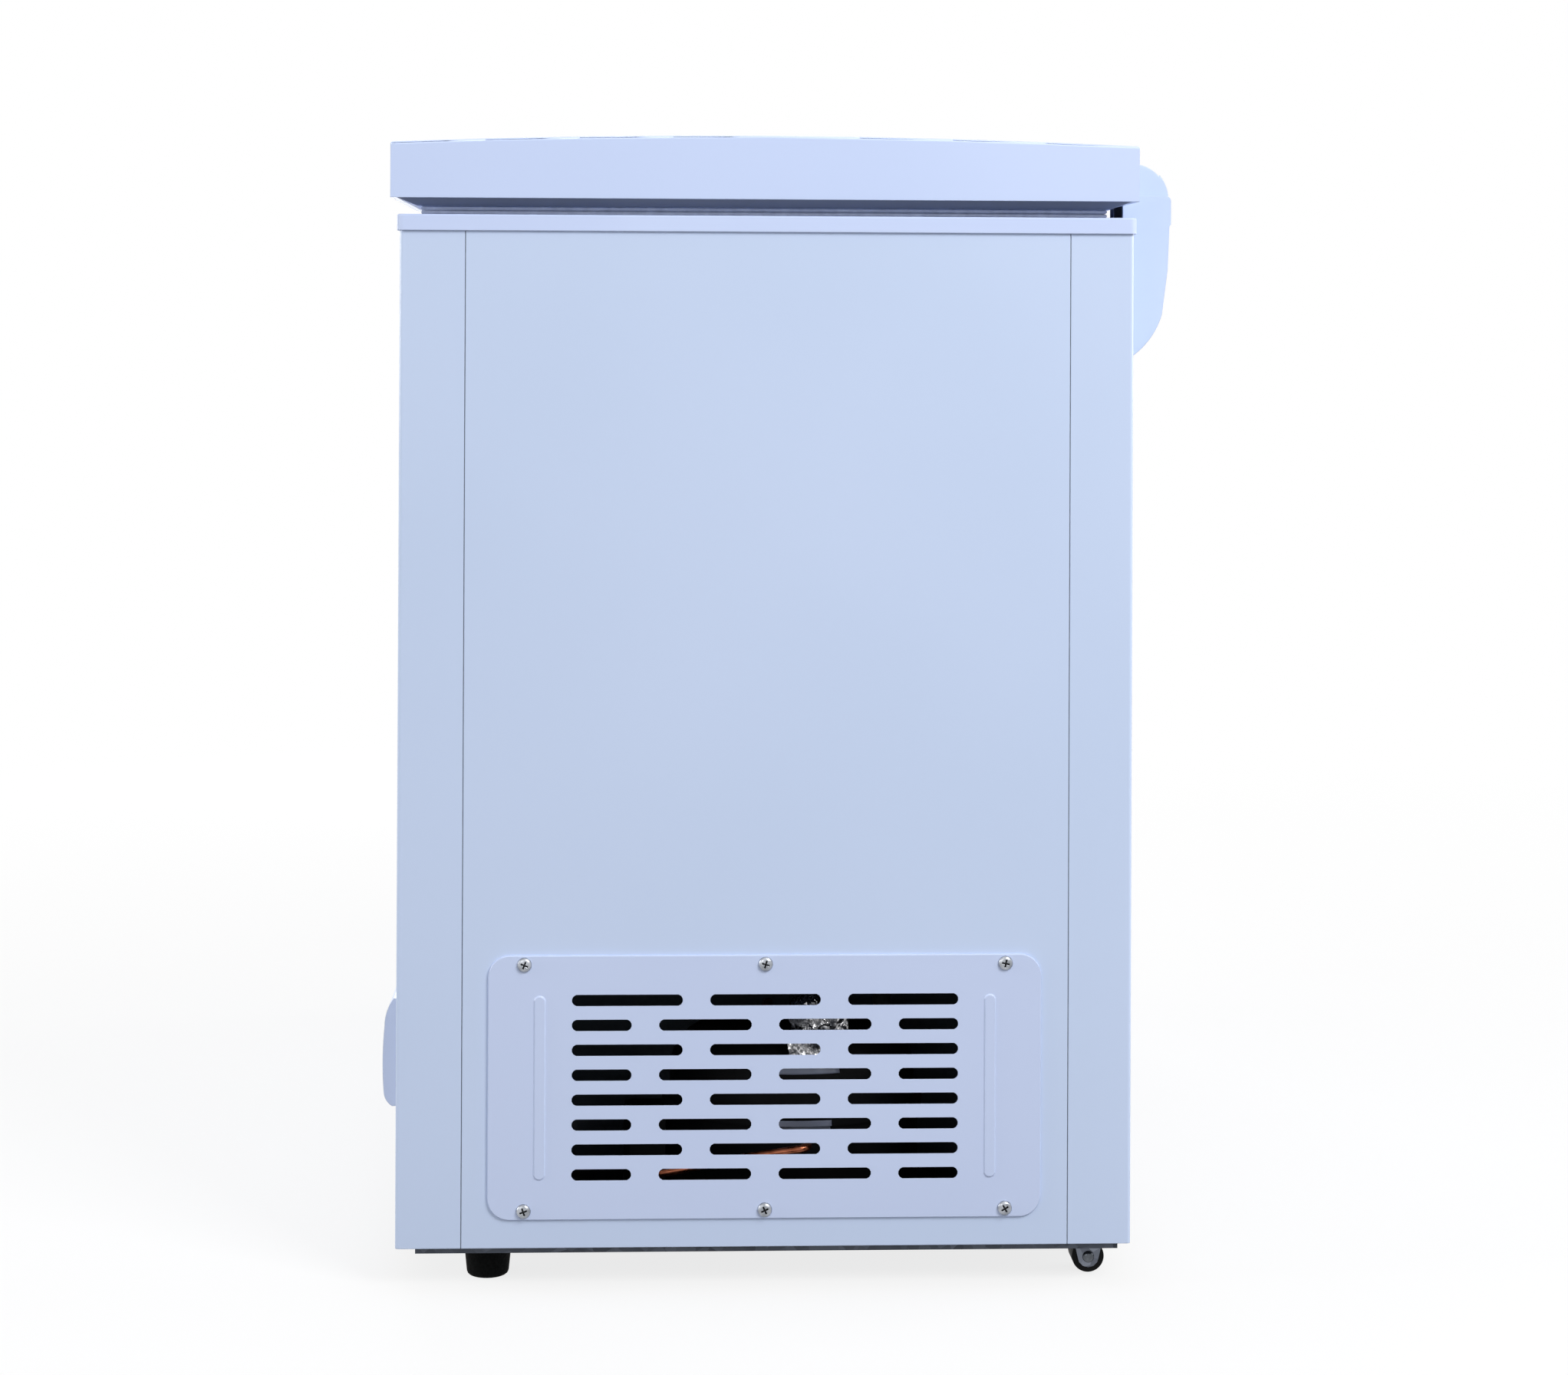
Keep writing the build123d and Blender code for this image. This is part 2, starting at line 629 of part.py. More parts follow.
# Insulation of the cabinet.
foam_cut = LINER_SHEET + FIT
with BuildPart() as cabinet_foam:
    with BuildSketch(Plane.XY.offset(PANEL_BOTTOM + BASE_RIM + FIT)):
        with Locations((0, MID_Y)):
            Rectangle(inner_length, inner_depth)
    extrude(amount=PANEL_TOP - PANEL_BOTTOM - BASE_RIM - 2 * FIT)
    with BuildSketch(Plane.XY.offset(BASE_TOP)):
        with Locations((0, MID_Y)):
            Rectangle(inner_length - 2 * BASE_SHEET - 2 * FIT, inner_depth - 2 * BASE_SHEET - 2 * FIT)
    extrude(amount=BASE_RIM + 1)
    with BuildSketch(Plane.XZ.offset(-MID_Y)):
        with BuildLine():
            Polyline(
                (-LINER_LENGTH / 2 - foam_cut, TRIM_TOP),
                (-LINER_LENGTH / 2 - foam_cut, LINER_FLOOR - foam_cut),
                (STEP_X + foam_cut, LINER_FLOOR - foam_cut),
                (STEP_X + foam_cut, STEP_TOP - foam_cut),
                (LINER_LENGTH / 2 + foam_cut, STEP_TOP - foam_cut),
                (LINER_LENGTH / 2 + foam_cut, TRIM_TOP),
                close=True,
            )
        make_face()
    extrude(amount=LINER_DEPTH / 2 + foam_cut, both=True, mode=Mode.SUBTRACT)
    with BuildSketch(Plane.XZ.offset(-MID_Y)):
        with BuildLine():
            Polyline(
                (BAY_X - SHEET - FIT, PANEL_BOTTOM),
                (BAY_X - SHEET - FIT, BAY_TOP + SHEET + FIT),
                (END_X, BAY_TOP + SHEET + FIT),
                (END_X, PANEL_BOTTOM),
                close=True,
            )
        make_face()
    extrude(amount=CABINET_DEPTH / 2, both=True, mode=Mode.SUBTRACT)
    jacket_grow = LINER_SHEET + FIT + JACKET
    with BuildSketch(Plane.XY.offset(BAY_TOP)):
        with Locations((0, MID_Y)):
            Rectangle(LINER_LENGTH + 2 * jacket_grow, LINER_DEPTH + 2 * jacket_grow)
            Rectangle(LINER_LENGTH + 2 * LINER_SHEET, LINER_DEPTH + 2 * LINER_SHEET, mode=Mode.SUBTRACT)
    extrude(amount=EVAP_Z + EVAP_PITCH * (2 * EVAP_LOOPS + 1) - BAY_TOP, mode=Mode.SUBTRACT)
    with BuildSketch(Plane.XZ.offset(-REAR_Y)):
        with BuildLine():
            Polyline(
                (cond_left - 20, cond_z - 15),
                (BAY_X, cond_z - 15),
                (BAY_X, BAY_TOP),
                (cond_tail_x + 20, BAY_TOP),
                (cond_tail_x + 20, cond_top + 10),
                (cond_left - 20, cond_top + 10),
                close=True,
            )
        make_face()
    extrude(amount=SHEET + COIL_POCKET, mode=Mode.SUBTRACT)
    with BuildSketch(Plane.XZ.offset(-REAR_Y)):
        for side, sx in SIDES:
            with Locations((sx * hinge_x, (SCREW_LOW_Z + SCREW_HIGH_Z) / 2)):
                Rectangle(2 * BASE_HALF + 2 * FIT, SCREW_HIGH_Z - SCREW_LOW_Z + 24 + 2 * FIT)
    extrude(amount=SHEET + BACKING + FIT, mode=Mode.SUBTRACT)
keep(cabinet_foam, "cabinet_foam")

# Steel plates behind the rear panel that take the hinge screws.
with BuildPart() as hinge_backing_plates:
    for side, sx in SIDES:
        with BuildSketch(Plane.XZ.offset(-REAR_Y + SHEET)):
            with Locations((sx * hinge_x, (SCREW_LOW_Z + SCREW_HIGH_Z) / 2)):
                Rectangle(2 * BASE_HALF, SCREW_HIGH_Z - SCREW_LOW_Z + 24)
            for z in (SCREW_LOW_Z, SCREW_HIGH_Z):
                with Locations((sx * hinge_x, z)):
                    bore(HINGE_SCREW_R, 6)
        extrude(amount=BACKING)
keep(hinge_backing_plates, "hinge_backing_plates")

# Compressor: a welded shell of two cups on a foot plate.
plate_z = BASE_TOP + SHELL_BASE
shell_z = plate_z + FOOT_PLATE
weld_z = shell_z + SHELL_LOWER
shell_top = weld_z + SHELL_BAND + SHELL_UPPER + SHELL_CAP
with BuildPart() as compressor:
    with BuildSketch(Plane.XY.offset(shell_z)):
        with Locations((comp_x, comp_y)):
            oval(SHELL_X, SHELL_Y)
    extrude(amount=SHELL_LOWER)
    chamfer(compressor.faces().sort_by(Axis.Z)[0].edges(), SHELL_CUP)
    with BuildSketch(Plane.XY.offset(weld_z)):
        with Locations((comp_x, comp_y)):
            oval(SHELL_X + 2 * SHELL_STEP, SHELL_Y + 2 * SHELL_STEP)
    extrude(amount=SHELL_BAND)
    with BuildSketch(Plane.XY.offset(weld_z + SHELL_BAND)):
        with Locations((comp_x, comp_y)):
            oval(SHELL_X - 2 * SHELL_STEP, SHELL_Y - 2 * SHELL_STEP)
    extrude(amount=SHELL_UPPER)
    crown = compressor.faces().sort_by(Axis.Z)[-1]
    chamfer(crown.edges(), SHELL_DOME_RUN, SHELL_DOME_DROP, reference=crown)
    extrude(compressor.faces().sort_by(Axis.Z)[-1], amount=SHELL_CAP)
    crown = compressor.faces().sort_by(Axis.Z)[-1]
    chamfer(crown.edges(), SHELL_CAP_RUN, SHELL_CAP - FIT, reference=crown)
    with BuildSketch(Plane.XY.offset(plate_z)):
        with Locations((comp_x, comp_y)):
            Rectangle(FOOT_PITCH_X + 28, FOOT_PITCH_Y + 28)
            with GridLocations(FOOT_PITCH_X, FOOT_PITCH_Y, 2, 2):
                bore(BOLT_R, 6)
    extrude(amount=FOOT_PLATE)
keep(compressor, "compressor")

with BuildPart() as compressor_grommets:
    with BuildSketch(Plane.XY.offset(BASE_TOP)):
        with Locations((comp_x, comp_y)):
            with GridLocations(FOOT_PITCH_X, FOOT_PITCH_Y, 2, 2):
                stud(GROMMET_R)
                bore(BOLT_R, 6)
    extrude(amount=SHELL_BASE)
keep(compressor_grommets, "compressor_grommets")

with BuildPart() as compressor_bolts:
    with BuildSketch(Plane.XY.offset(plate_z + FOOT_PLATE)):
        with Locations((comp_x, comp_y)):
            with GridLocations(FOOT_PITCH_X, FOOT_PITCH_Y, 2, 2):
                RegularPolygon(5.5, 6)
    extrude(amount=4)
    with BuildSketch(Plane.XY.offset(BASE_TOP)):
        with Locations((comp_x, comp_y)):
            with GridLocations(FOOT_PITCH_X, FOOT_PITCH_Y, 2, 2):
                RegularPolygon(BOLT_R, 6)
    extrude(amount=SHELL_BASE + FOOT_PLATE)
keep(compressor_bolts, "compressor_bolts")

with BuildPart() as terminal_cover:
    with BuildSketch(Plane.XY.offset(shell_z + 14)):
        with Locations((comp_x, comp_y - SHELL_Y / 2 - FIT - 16)):
            Rectangle(58, 32)
    extrude(amount=48)
    chamfer(terminal_cover.edges().filter_by(Axis.Z).group_by(Axis.Y)[0], 5)
keep(terminal_cover, "terminal_cover")

# Pipes of the compressor bay.
SUCTION_Z = shell_top + 14
SUCTION_X = comp_x + 18
with BuildPart() as suction_pipe:
    tube(
        [
            (evap_x, SUCTION_Y, BAY_TOP + SHEET),
            (evap_x, SUCTION_Y, SUCTION_Z),
            (evap_x, MID_Y + 5, SUCTION_Z),
            (SUCTION_X, MID_Y + 5, SUCTION_Z),
            (SUCTION_X, MID_Y + 5, shell_top),
        ],
        7,
        SUCTION_R,
    )
keep(suction_pipe, "suction_pipe")

with BuildPart() as suction_sleeve:
    with BuildSketch(Plane.XZ.offset(-MID_Y - 20)):
        with Locations((evap_x, SUCTION_Z)):
            stud(SLEEVE_R)
            bore(SUCTION_R + FIT, 8)
    extrude(amount=-46)
keep(suction_sleeve, "suction_sleeve")

DISCHARGE_Z = weld_z + SHELL_BAND + DISCHARGE_R
with BuildPart() as discharge_pipe:
    tube(
        [
            (cond_tail_x, cond_y, BAY_TOP),
            (cond_tail_x, cond_y, DISCHARGE_Z),
            (comp_x, cond_y, DISCHARGE_Z),
            (comp_x, comp_y + SHELL_Y / 2 - SHELL_STEP, DISCHARGE_Z),
        ],
        14,
        DISCHARGE_R,
        6,
    )
keep(discharge_pipe, "discharge_pipe")

process_x = comp_x + SHELL_X / 2 + 12
with BuildPart() as process_pipe:
    tube(
        [
            (comp_x + SHELL_X / 2, comp_y + 8, shell_z + 55),
            (process_x, comp_y + 8, shell_z + 55),
            (process_x, MID_Y - 33, shell_z + 52),
            (process_x, MID_Y - 78, shell_z + 37),
        ],
        7,
        PROCESS_R,
        6,
    )
keep(process_pipe, "process_pipe")

drier_y = REAR_Y - SHEET - 15
drier_x = evap_x - 20.1 - DRIER_LENGTH
with BuildPart() as filter_drier:
    tube(
        [
            (BAY_X + 12, cond_y, cond_z),
            (BAY_X + 24, cond_y, cond_z),
            (drier_x - 10, drier_y, cond_z),
            (drier_x + 4, drier_y, cond_z),
        ],
        6,
        2.5,
        6,
    )
    with BuildSketch(Plane.YZ.offset(drier_x)):
        with Locations((drier_y, cond_z)):
            stud(DRIER_R)
    extrude(amount=DRIER_LENGTH)
    for end in filter_drier.faces().filter_by(Axis.X).sort_by(SortBy.AREA)[-2:]:
        chamfer(end.outer_wire().edges(), DRIER_NECK, DRIER_NECK, reference=end)
    with BuildSketch(Plane.YZ.offset(drier_x + DRIER_LENGTH)):
        with Locations((drier_y, cond_z)):
            stud(2, 6)
    extrude(amount=6)
keep(filter_drier, "filter_drier")

with BuildPart() as capillary_tube:
    tube(
        [
            (drier_x + DRIER_LENGTH + 6, drier_y, cond_z),
            (evap_x, drier_y, cond_z),
            (evap_x, drier_y, BAY_TOP - 30),
            (evap_x, CAPILLARY_Y, BAY_TOP - 30),
            (evap_x, CAPILLARY_Y, BAY_TOP + SHEET),
        ],
        8,
        CAPILLARY_R,
        4,
    )
keep(capillary_tube, "capillary_tube")

# Vent cover: a shallow sheet tray with rows of staggered slots and two upright beads.
slot_block = 3 * SLOT_LONG + 2 * SLOT_GAP
slot_edge = (slot_block - 2 * SLOT_MID - 3 * SLOT_GAP) / 2
screw_points = []
for dy in (-VENT_SCREW_OFFSET, 0, VENT_SCREW_OFFSET):
    for dz in (-1, 1):
        screw_points.append((MID_Y + dy, VENT_Z + dz * (VENT_HEIGHT / 2 - VENT_SCREW_EDGE)))
with BuildPart() as vent_cover:
    with BuildSketch(Plane.YZ.offset(END_X)):
        with Locations((MID_Y, VENT_Z)):
            RectangleRounded(VENT_WIDTH, VENT_HEIGHT, VENT_R)
    extrude(amount=VENT_DEPTH)
    chamfer(vent_cover.faces().sort_by(Axis.X)[-1].edges(), 0.5)
    with BuildSketch(Plane.YZ.offset(END_X)):
        with Locations((MID_Y, VENT_Z)):
            RectangleRounded(VENT_WIDTH - 2 * VENT_SHEET, VENT_HEIGHT - 2 * VENT_SHEET, VENT_R - VENT_SHEET)
    extrude(amount=VENT_DEPTH - VENT_SHEET, mode=Mode.SUBTRACT)
    with BuildSketch(Plane.YZ.offset(END_X + VENT_DEPTH)):
        with Locations((MID_Y - BEAD_OFFSET, VENT_Z), (MID_Y + BEAD_OFFSET, VENT_Z)):
            slot(BEAD_LENGTH, BEAD_WIDTH, 90)
    extrude(amount=BEAD_RISE, taper=45)
    with BuildSketch(Plane.YZ.offset(END_X)):
        for row in range(SLOT_ROWS):
            z = VENT_Z + ((SLOT_ROWS - 1) / 2 - row) * SLOT_PITCH
            widths = [SLOT_LONG] * 3 if row % 2 == 0 else [slot_edge, SLOT_MID, SLOT_MID, slot_edge]
            y = MID_Y - slot_block / 2
            for width in widths:
                with Locations((y + width / 2, z)):
                    slot(width, SLOT_HEIGHT)
                y += width + SLOT_GAP
        with Locations(*screw_points):
            RegularPolygon(SCREW_R + FIT, 6)
    extrude(amount=VENT_DEPTH + BEAD_RISE, mode=Mode.SUBTRACT)
keep(vent_cover, "vent_cover")

with BuildPart() as vent_cover_screws:
    with BuildSketch(Plane.YZ.offset(END_X + VENT_DEPTH)):
        with Locations(*screw_points):
            stud(SCREW_HEAD_R)
    extrude(amount=SCREW_HEAD)
    chamfer(vent_cover_screws.faces().filter_by(Axis.X).group_by(Axis.X)[-1].edges(), 1.4)
    with BuildSketch(Plane.YZ.offset(END_X + VENT_DEPTH)):
        with Locations(*screw_points):
            RegularPolygon(SCREW_R, 6)
    extrude(amount=-SCREW_REACH)
keep(vent_cover_screws, "vent_cover_screws")

# Control housing on the front: a domed bar with a round well for the knob.
control_right = END_X - CONTROL_END
well_floor = CONTROL_PROUD - KNOB_WELL
lamp_points = []
for k in range(3):
    lamp_points.append((knob_x - KNOB_WELL_R - LAMP_PITCH * (k + 1), knob_z))
with BuildPart() as control_housing:
    with BuildSketch(
        Plane(origin=(control_right, FRONT_Y, CONTROL_Z), x_dir=(0, -1, 0), z_dir=(-1, 0, 0))
    ):
        with BuildLine():
            ThreePointArc((CONTROL_PROUD - 7.0, 0), (CONTROL_PROUD - 2.9, 4.2), (CONTROL_PROUD - 0.9, 10))
            ThreePointArc(
                (CONTROL_PROUD - 0.9, 10), (CONTROL_PROUD, 34), (CONTROL_PROUD - 1.3, CONTROL_HEIGHT - 20.5)
            )
            ThreePointArc(
                (CONTROL_PROUD - 1.3, CONTROL_HEIGHT - 20.5),
                (CONTROL_PROUD - 3.6, CONTROL_HEIGHT - 8),
                (CONTROL_PROUD - 8.0, CONTROL_HEIGHT),
            )
            Polyline(
                (CONTROL_PROUD - 8.0, CONTROL_HEIGHT),
                (0, CONTROL_HEIGHT),
                (0, 0),
                (CONTROL_PROUD - 7.0, 0),
            )
        make_face()
    extrude(amount=CONTROL_WIDTH)
    with BuildSketch(Plane.XZ.offset(-FRONT_Y + well_floor)):
        with Locations((knob_x, knob_z)):
            stud(KNOB_WELL_R, 24)
    extrude(amount=CONTROL_PROUD, mode=Mode.SUBTRACT)
    with BuildSketch(Plane.XZ.offset(-FRONT_Y)):
        with Locations((knob_x, knob_z)):
            Circle(KNOB_STEM_R + RUNNING)
    extrude(amount=CONTROL_PROUD, mode=Mode.SUBTRACT)
    with BuildSketch(Plane.XZ.offset(-FRONT_Y + well_floor)):
        with Locations(*lamp_points):
            Rectangle(LAMP_WIDTH + FIT, LAMP_HEIGHT + FIT)
    extrude(amount=CONTROL_PROUD, mode=Mode.SUBTRACT)
keep(control_housing, "control_housing")

with BuildPart() as indicator_lamps:
    with BuildSketch(Plane.XZ.offset(-FRONT_Y + well_floor)):
        with Locations(*lamp_points):
            Rectangle(LAMP_WIDTH, LAMP_HEIGHT)
    extrude(amount=KNOB_WELL - 0.4)
keep(indicator_lamps, "indicator_lamps")

STEM_REACH = 12.0
with BuildPart() as thermostat:
    with BuildSketch(Plane.XZ.offset(-FRONT_Y - SHEET)):
        with Locations((knob_x, knob_z)):
            Rectangle(46, 34)
            bore(KNOB_STEM_R + RUNNING, 8)
    extrude(amount=-STEM_REACH - 2)
    with BuildSketch(Plane.XZ.offset(-FRONT_Y - SHEET - STEM_REACH - 2)):
        with Locations((knob_x, knob_z)):
            Rectangle(46, 34)
    extrude(amount=-18)
keep(thermostat, "thermostat")

with BuildPart() as thermostat_knob:
    with BuildSketch(Plane.XZ.offset(-FRONT_Y + well_floor + FIT)):
        with Locations((knob_x, knob_z)):
            stud(KNOB_R, 24)
    extrude(amount=4)
    with BuildSketch(Plane.XZ.offset(-FRONT_Y + well_floor + FIT + 4)):
        with Locations((knob_x, knob_z)):
            slot(2 * KNOB_R - 4, 8.5, 90)
    extrude(amount=KNOB_WELL - 4 - 2 * FIT)
    with BuildSketch(Plane.XZ.offset(-FRONT_Y + well_floor + FIT)):
        with Locations((knob_x, knob_z)):
            Circle(KNOB_STEM_R)
    extrude(amount=-(well_floor + FIT + SHEET + STEM_REACH))
keep(thermostat_knob, "thermostat_knob")

# Gland where the supply lead would pass through the rear panel.
with BuildPart() as cord_gland:
    with BuildSketch(Plane.XZ.offset(-REAR_Y - 3)):
        with Locations((GLAND_X, GLAND_Z)):
            RegularPolygon(GLAND_R + 5, 6)
    extrude(amount=3)
    with BuildSketch(Plane.XZ.offset(-REAR_Y)):
        with Locations((GLAND_X, GLAND_Z)):
            Rectangle(2 * GLAND_R, 2 * GLAND_R)
    extrude(amount=SHEET + 5)
    with BuildSketch(Plane.XZ.offset(-REAR_Y - 3)):
        with Locations((GLAND_X, GLAND_Z)):
            stud(GLAND_R - 3.5)
    extrude(amount=SHEET + 8, mode=Mode.SUBTRACT)
keep(cord_gland, "cord_gland")

# Lid: steel skin with a folded hem, insulation and a formed plastic liner.
LINER_TOP = SEAT_Z + RECESS_RISE + LINER_WALL + 2
LEAF_SCREW_X = 8.0
LEAF_SCREW_Z = PIN_Z + 13
lid_outer = lid_block(0, LID_BOTTOM, LID_R)
lid_inner = lid_block(SHEET, LID_BOTTOM - 1)
lid_core = lid_block(SHEET + FIT, LINER_TOP + FIT)
with BuildPart() as lid_skin:
    add(lid_outer)
    add(lid_inner, mode=Mode.SUBTRACT)
    with BuildSketch(Plane.XY.offset(LID_BOTTOM)):
        with Locations((0, LID_MID)):
            Rectangle(LID_LENGTH - SHEET, LID_DEPTH - SHEET)
            Rectangle(LID_LENGTH - 2 * LID_HEM, LID_DEPTH - 2 * LID_HEM, mode=Mode.SUBTRACT)
    extrude(amount=SHEET)
    add(lid_outer, mode=Mode.INTERSECT)
    with BuildSketch(Plane.XZ.offset(-LID_REAR)):
        for side, sx in SIDES:
            with Locations(
                (sx * hinge_x - LEAF_SCREW_X, LEAF_SCREW_Z), (sx * hinge_x + LEAF_SCREW_X, LEAF_SCREW_Z)
            ):
                RegularPolygon(HINGE_SCREW_R + FIT, 6)
    extrude(amount=2 * SHEET, mode=Mode.SUBTRACT)
keep(lid_skin, "lid_skin")

border_length = LID_LENGTH - 2 * LID_HEM - 2 * FIT
border_depth = LID_DEPTH - 2 * LID_HEM - 2 * FIT
seat_length = border_length - 2 * BORDER_RUN
seat_depth = border_depth - 2 * BORDER_RUN
recess_length = seat_length - 2 * SEAT_WIDTH
recess_depth = seat_depth - 2 * SEAT_WIDTH
with BuildPart() as lid_liner:
    with BuildSketch(Plane.XY.offset(SEAT_Z)):
        with Locations((0, LID_MID)):
            Rectangle(seat_length, seat_depth)
    with BuildSketch(Plane.XY.offset(LID_BOTTOM)):
        with Locations((0, LID_MID)):
            Rectangle(border_length, border_depth)
    loft(ruled=True)
    with BuildSketch(Plane.XY.offset(LID_BOTTOM)):
        with Locations((0, LID_MID)):
            Rectangle(border_length, border_depth)
    extrude(amount=LINER_TOP - LID_BOTTOM)
    with BuildSketch(Plane.XY.offset(SEAT_Z)):
        with Locations((0, LID_MID)):
            Rectangle(recess_length, recess_depth)
    with BuildSketch(Plane.XY.offset(SEAT_Z + RECESS_RISE)):
        with Locations((0, LID_MID)):
            Rectangle(recess_length - 2 * RECESS_RUN, recess_depth - 2 * RECESS_RUN)
    loft(ruled=True, mode=Mode.SUBTRACT)
    offset(amount=-LINER_WALL, openings=lid_liner.faces().sort_by(Axis.Z)[-1], kind=Kind.INTERSECTION)
keep(lid_liner, "lid_liner")

with BuildPart() as lid_foam:
    add(lid_core)
    with BuildSketch(Plane.XY.offset(SEAT_Z + LINER_WALL + FIT)):
        with Locations((0, LID_MID)):
            Rectangle(seat_length - 2 * LINER_WALL, seat_depth - 2 * LINER_WALL)
    extrude(amount=LINER_TOP + 1 - SEAT_Z - LINER_WALL)
    with BuildSketch(Plane.XY.offset(SEAT_Z)):
        with Locations((0, LID_MID)):
            Rectangle(recess_length + 2 * LINER_WALL + 2 * FIT, recess_depth + 2 * LINER_WALL + 2 * FIT)
    extrude(amount=RECESS_RISE + LINER_WALL + FIT, mode=Mode.SUBTRACT)
    with BuildSketch(Plane.XZ.offset(-LID_REAR)):
        for side, sx in SIDES:
            with Locations((sx * hinge_x, LEAF_SCREW_Z)):
                Rectangle(2 * BASE_HALF + 2 * FIT, 20 + 2 * FIT)
    extrude(amount=SHEET + BACKING + FIT, mode=Mode.SUBTRACT)
keep(lid_foam, "lid_foam")

with BuildPart() as lid_backing_plates:
    for side, sx in SIDES:
        with BuildSketch(Plane.XZ.offset(-LID_REAR + SHEET)):
            with Locations((sx * hinge_x, LEAF_SCREW_Z)):
                Rectangle(2 * BASE_HALF, 20)
            with Locations(
                (sx * hinge_x - LEAF_SCREW_X, LEAF_SCREW_Z), (sx * hinge_x + LEAF_SCREW_X, LEAF_SCREW_Z)
            ):
                bore(HINGE_SCREW_R, 6)
        extrude(amount=BACKING)
keep(lid_backing_plates, "lid_backing_plates")

# Gasket: two soft lobes on a mitred frame under the lid.
GASKET_INSET = 2.5
gasket_drop = SEAT_Z - TRIM_TOP - GASKET_GAP
gasket_x = seat_length / 2 - GASKET_INSET - GASKET_WIDTH / 2
gasket_y = seat_depth / 2 - GASKET_INSET - GASKET_WIDTH / 2
lobe = GASKET_WIDTH / 2
neck = lobe - 1.6
with BuildPart() as lid_gasket:
    with BuildLine() as route:
        Polyline(
            (0, LID_MID - gasket_y, SEAT_Z),
            (gasket_x, LID_MID - gasket_y, SEAT_Z),
            (gasket_x, LID_MID + gasket_y, SEAT_Z),
            (-gasket_x, LID_MID + gasket_y, SEAT_Z),
            (-gasket_x, LID_MID - gasket_y, SEAT_Z),
            close=True,
        )
    with BuildSketch(
        Plane(origin=(0, LID_MID - gasket_y, SEAT_Z), x_dir=(0, 1, 0), z_dir=(1, 0, 0))
    ) as section:
        with BuildLine():
            Polyline(
                (neck, 0),
                (lobe, -gasket_drop / 8),
                (lobe, -gasket_drop * 3 / 8),
                (neck, -gasket_drop / 2),
                (lobe, -gasket_drop * 5 / 8),
                (lobe, -gasket_drop * 7 / 8),
                (neck, -gasket_drop),
                (-neck, -gasket_drop),
                (-lobe, -gasket_drop * 7 / 8),
                (-lobe, -gasket_drop * 5 / 8),
                (-neck, -gasket_drop / 2),
                (-lobe, -gasket_drop * 3 / 8),
                (-lobe, -gasket_drop / 8),
                (-neck, 0),
                close=True,
            )
        make_face()
    sweep(section.sketch, path=route.line, transition=Transition.RIGHT)
keep(lid_gasket, "lid_gasket")

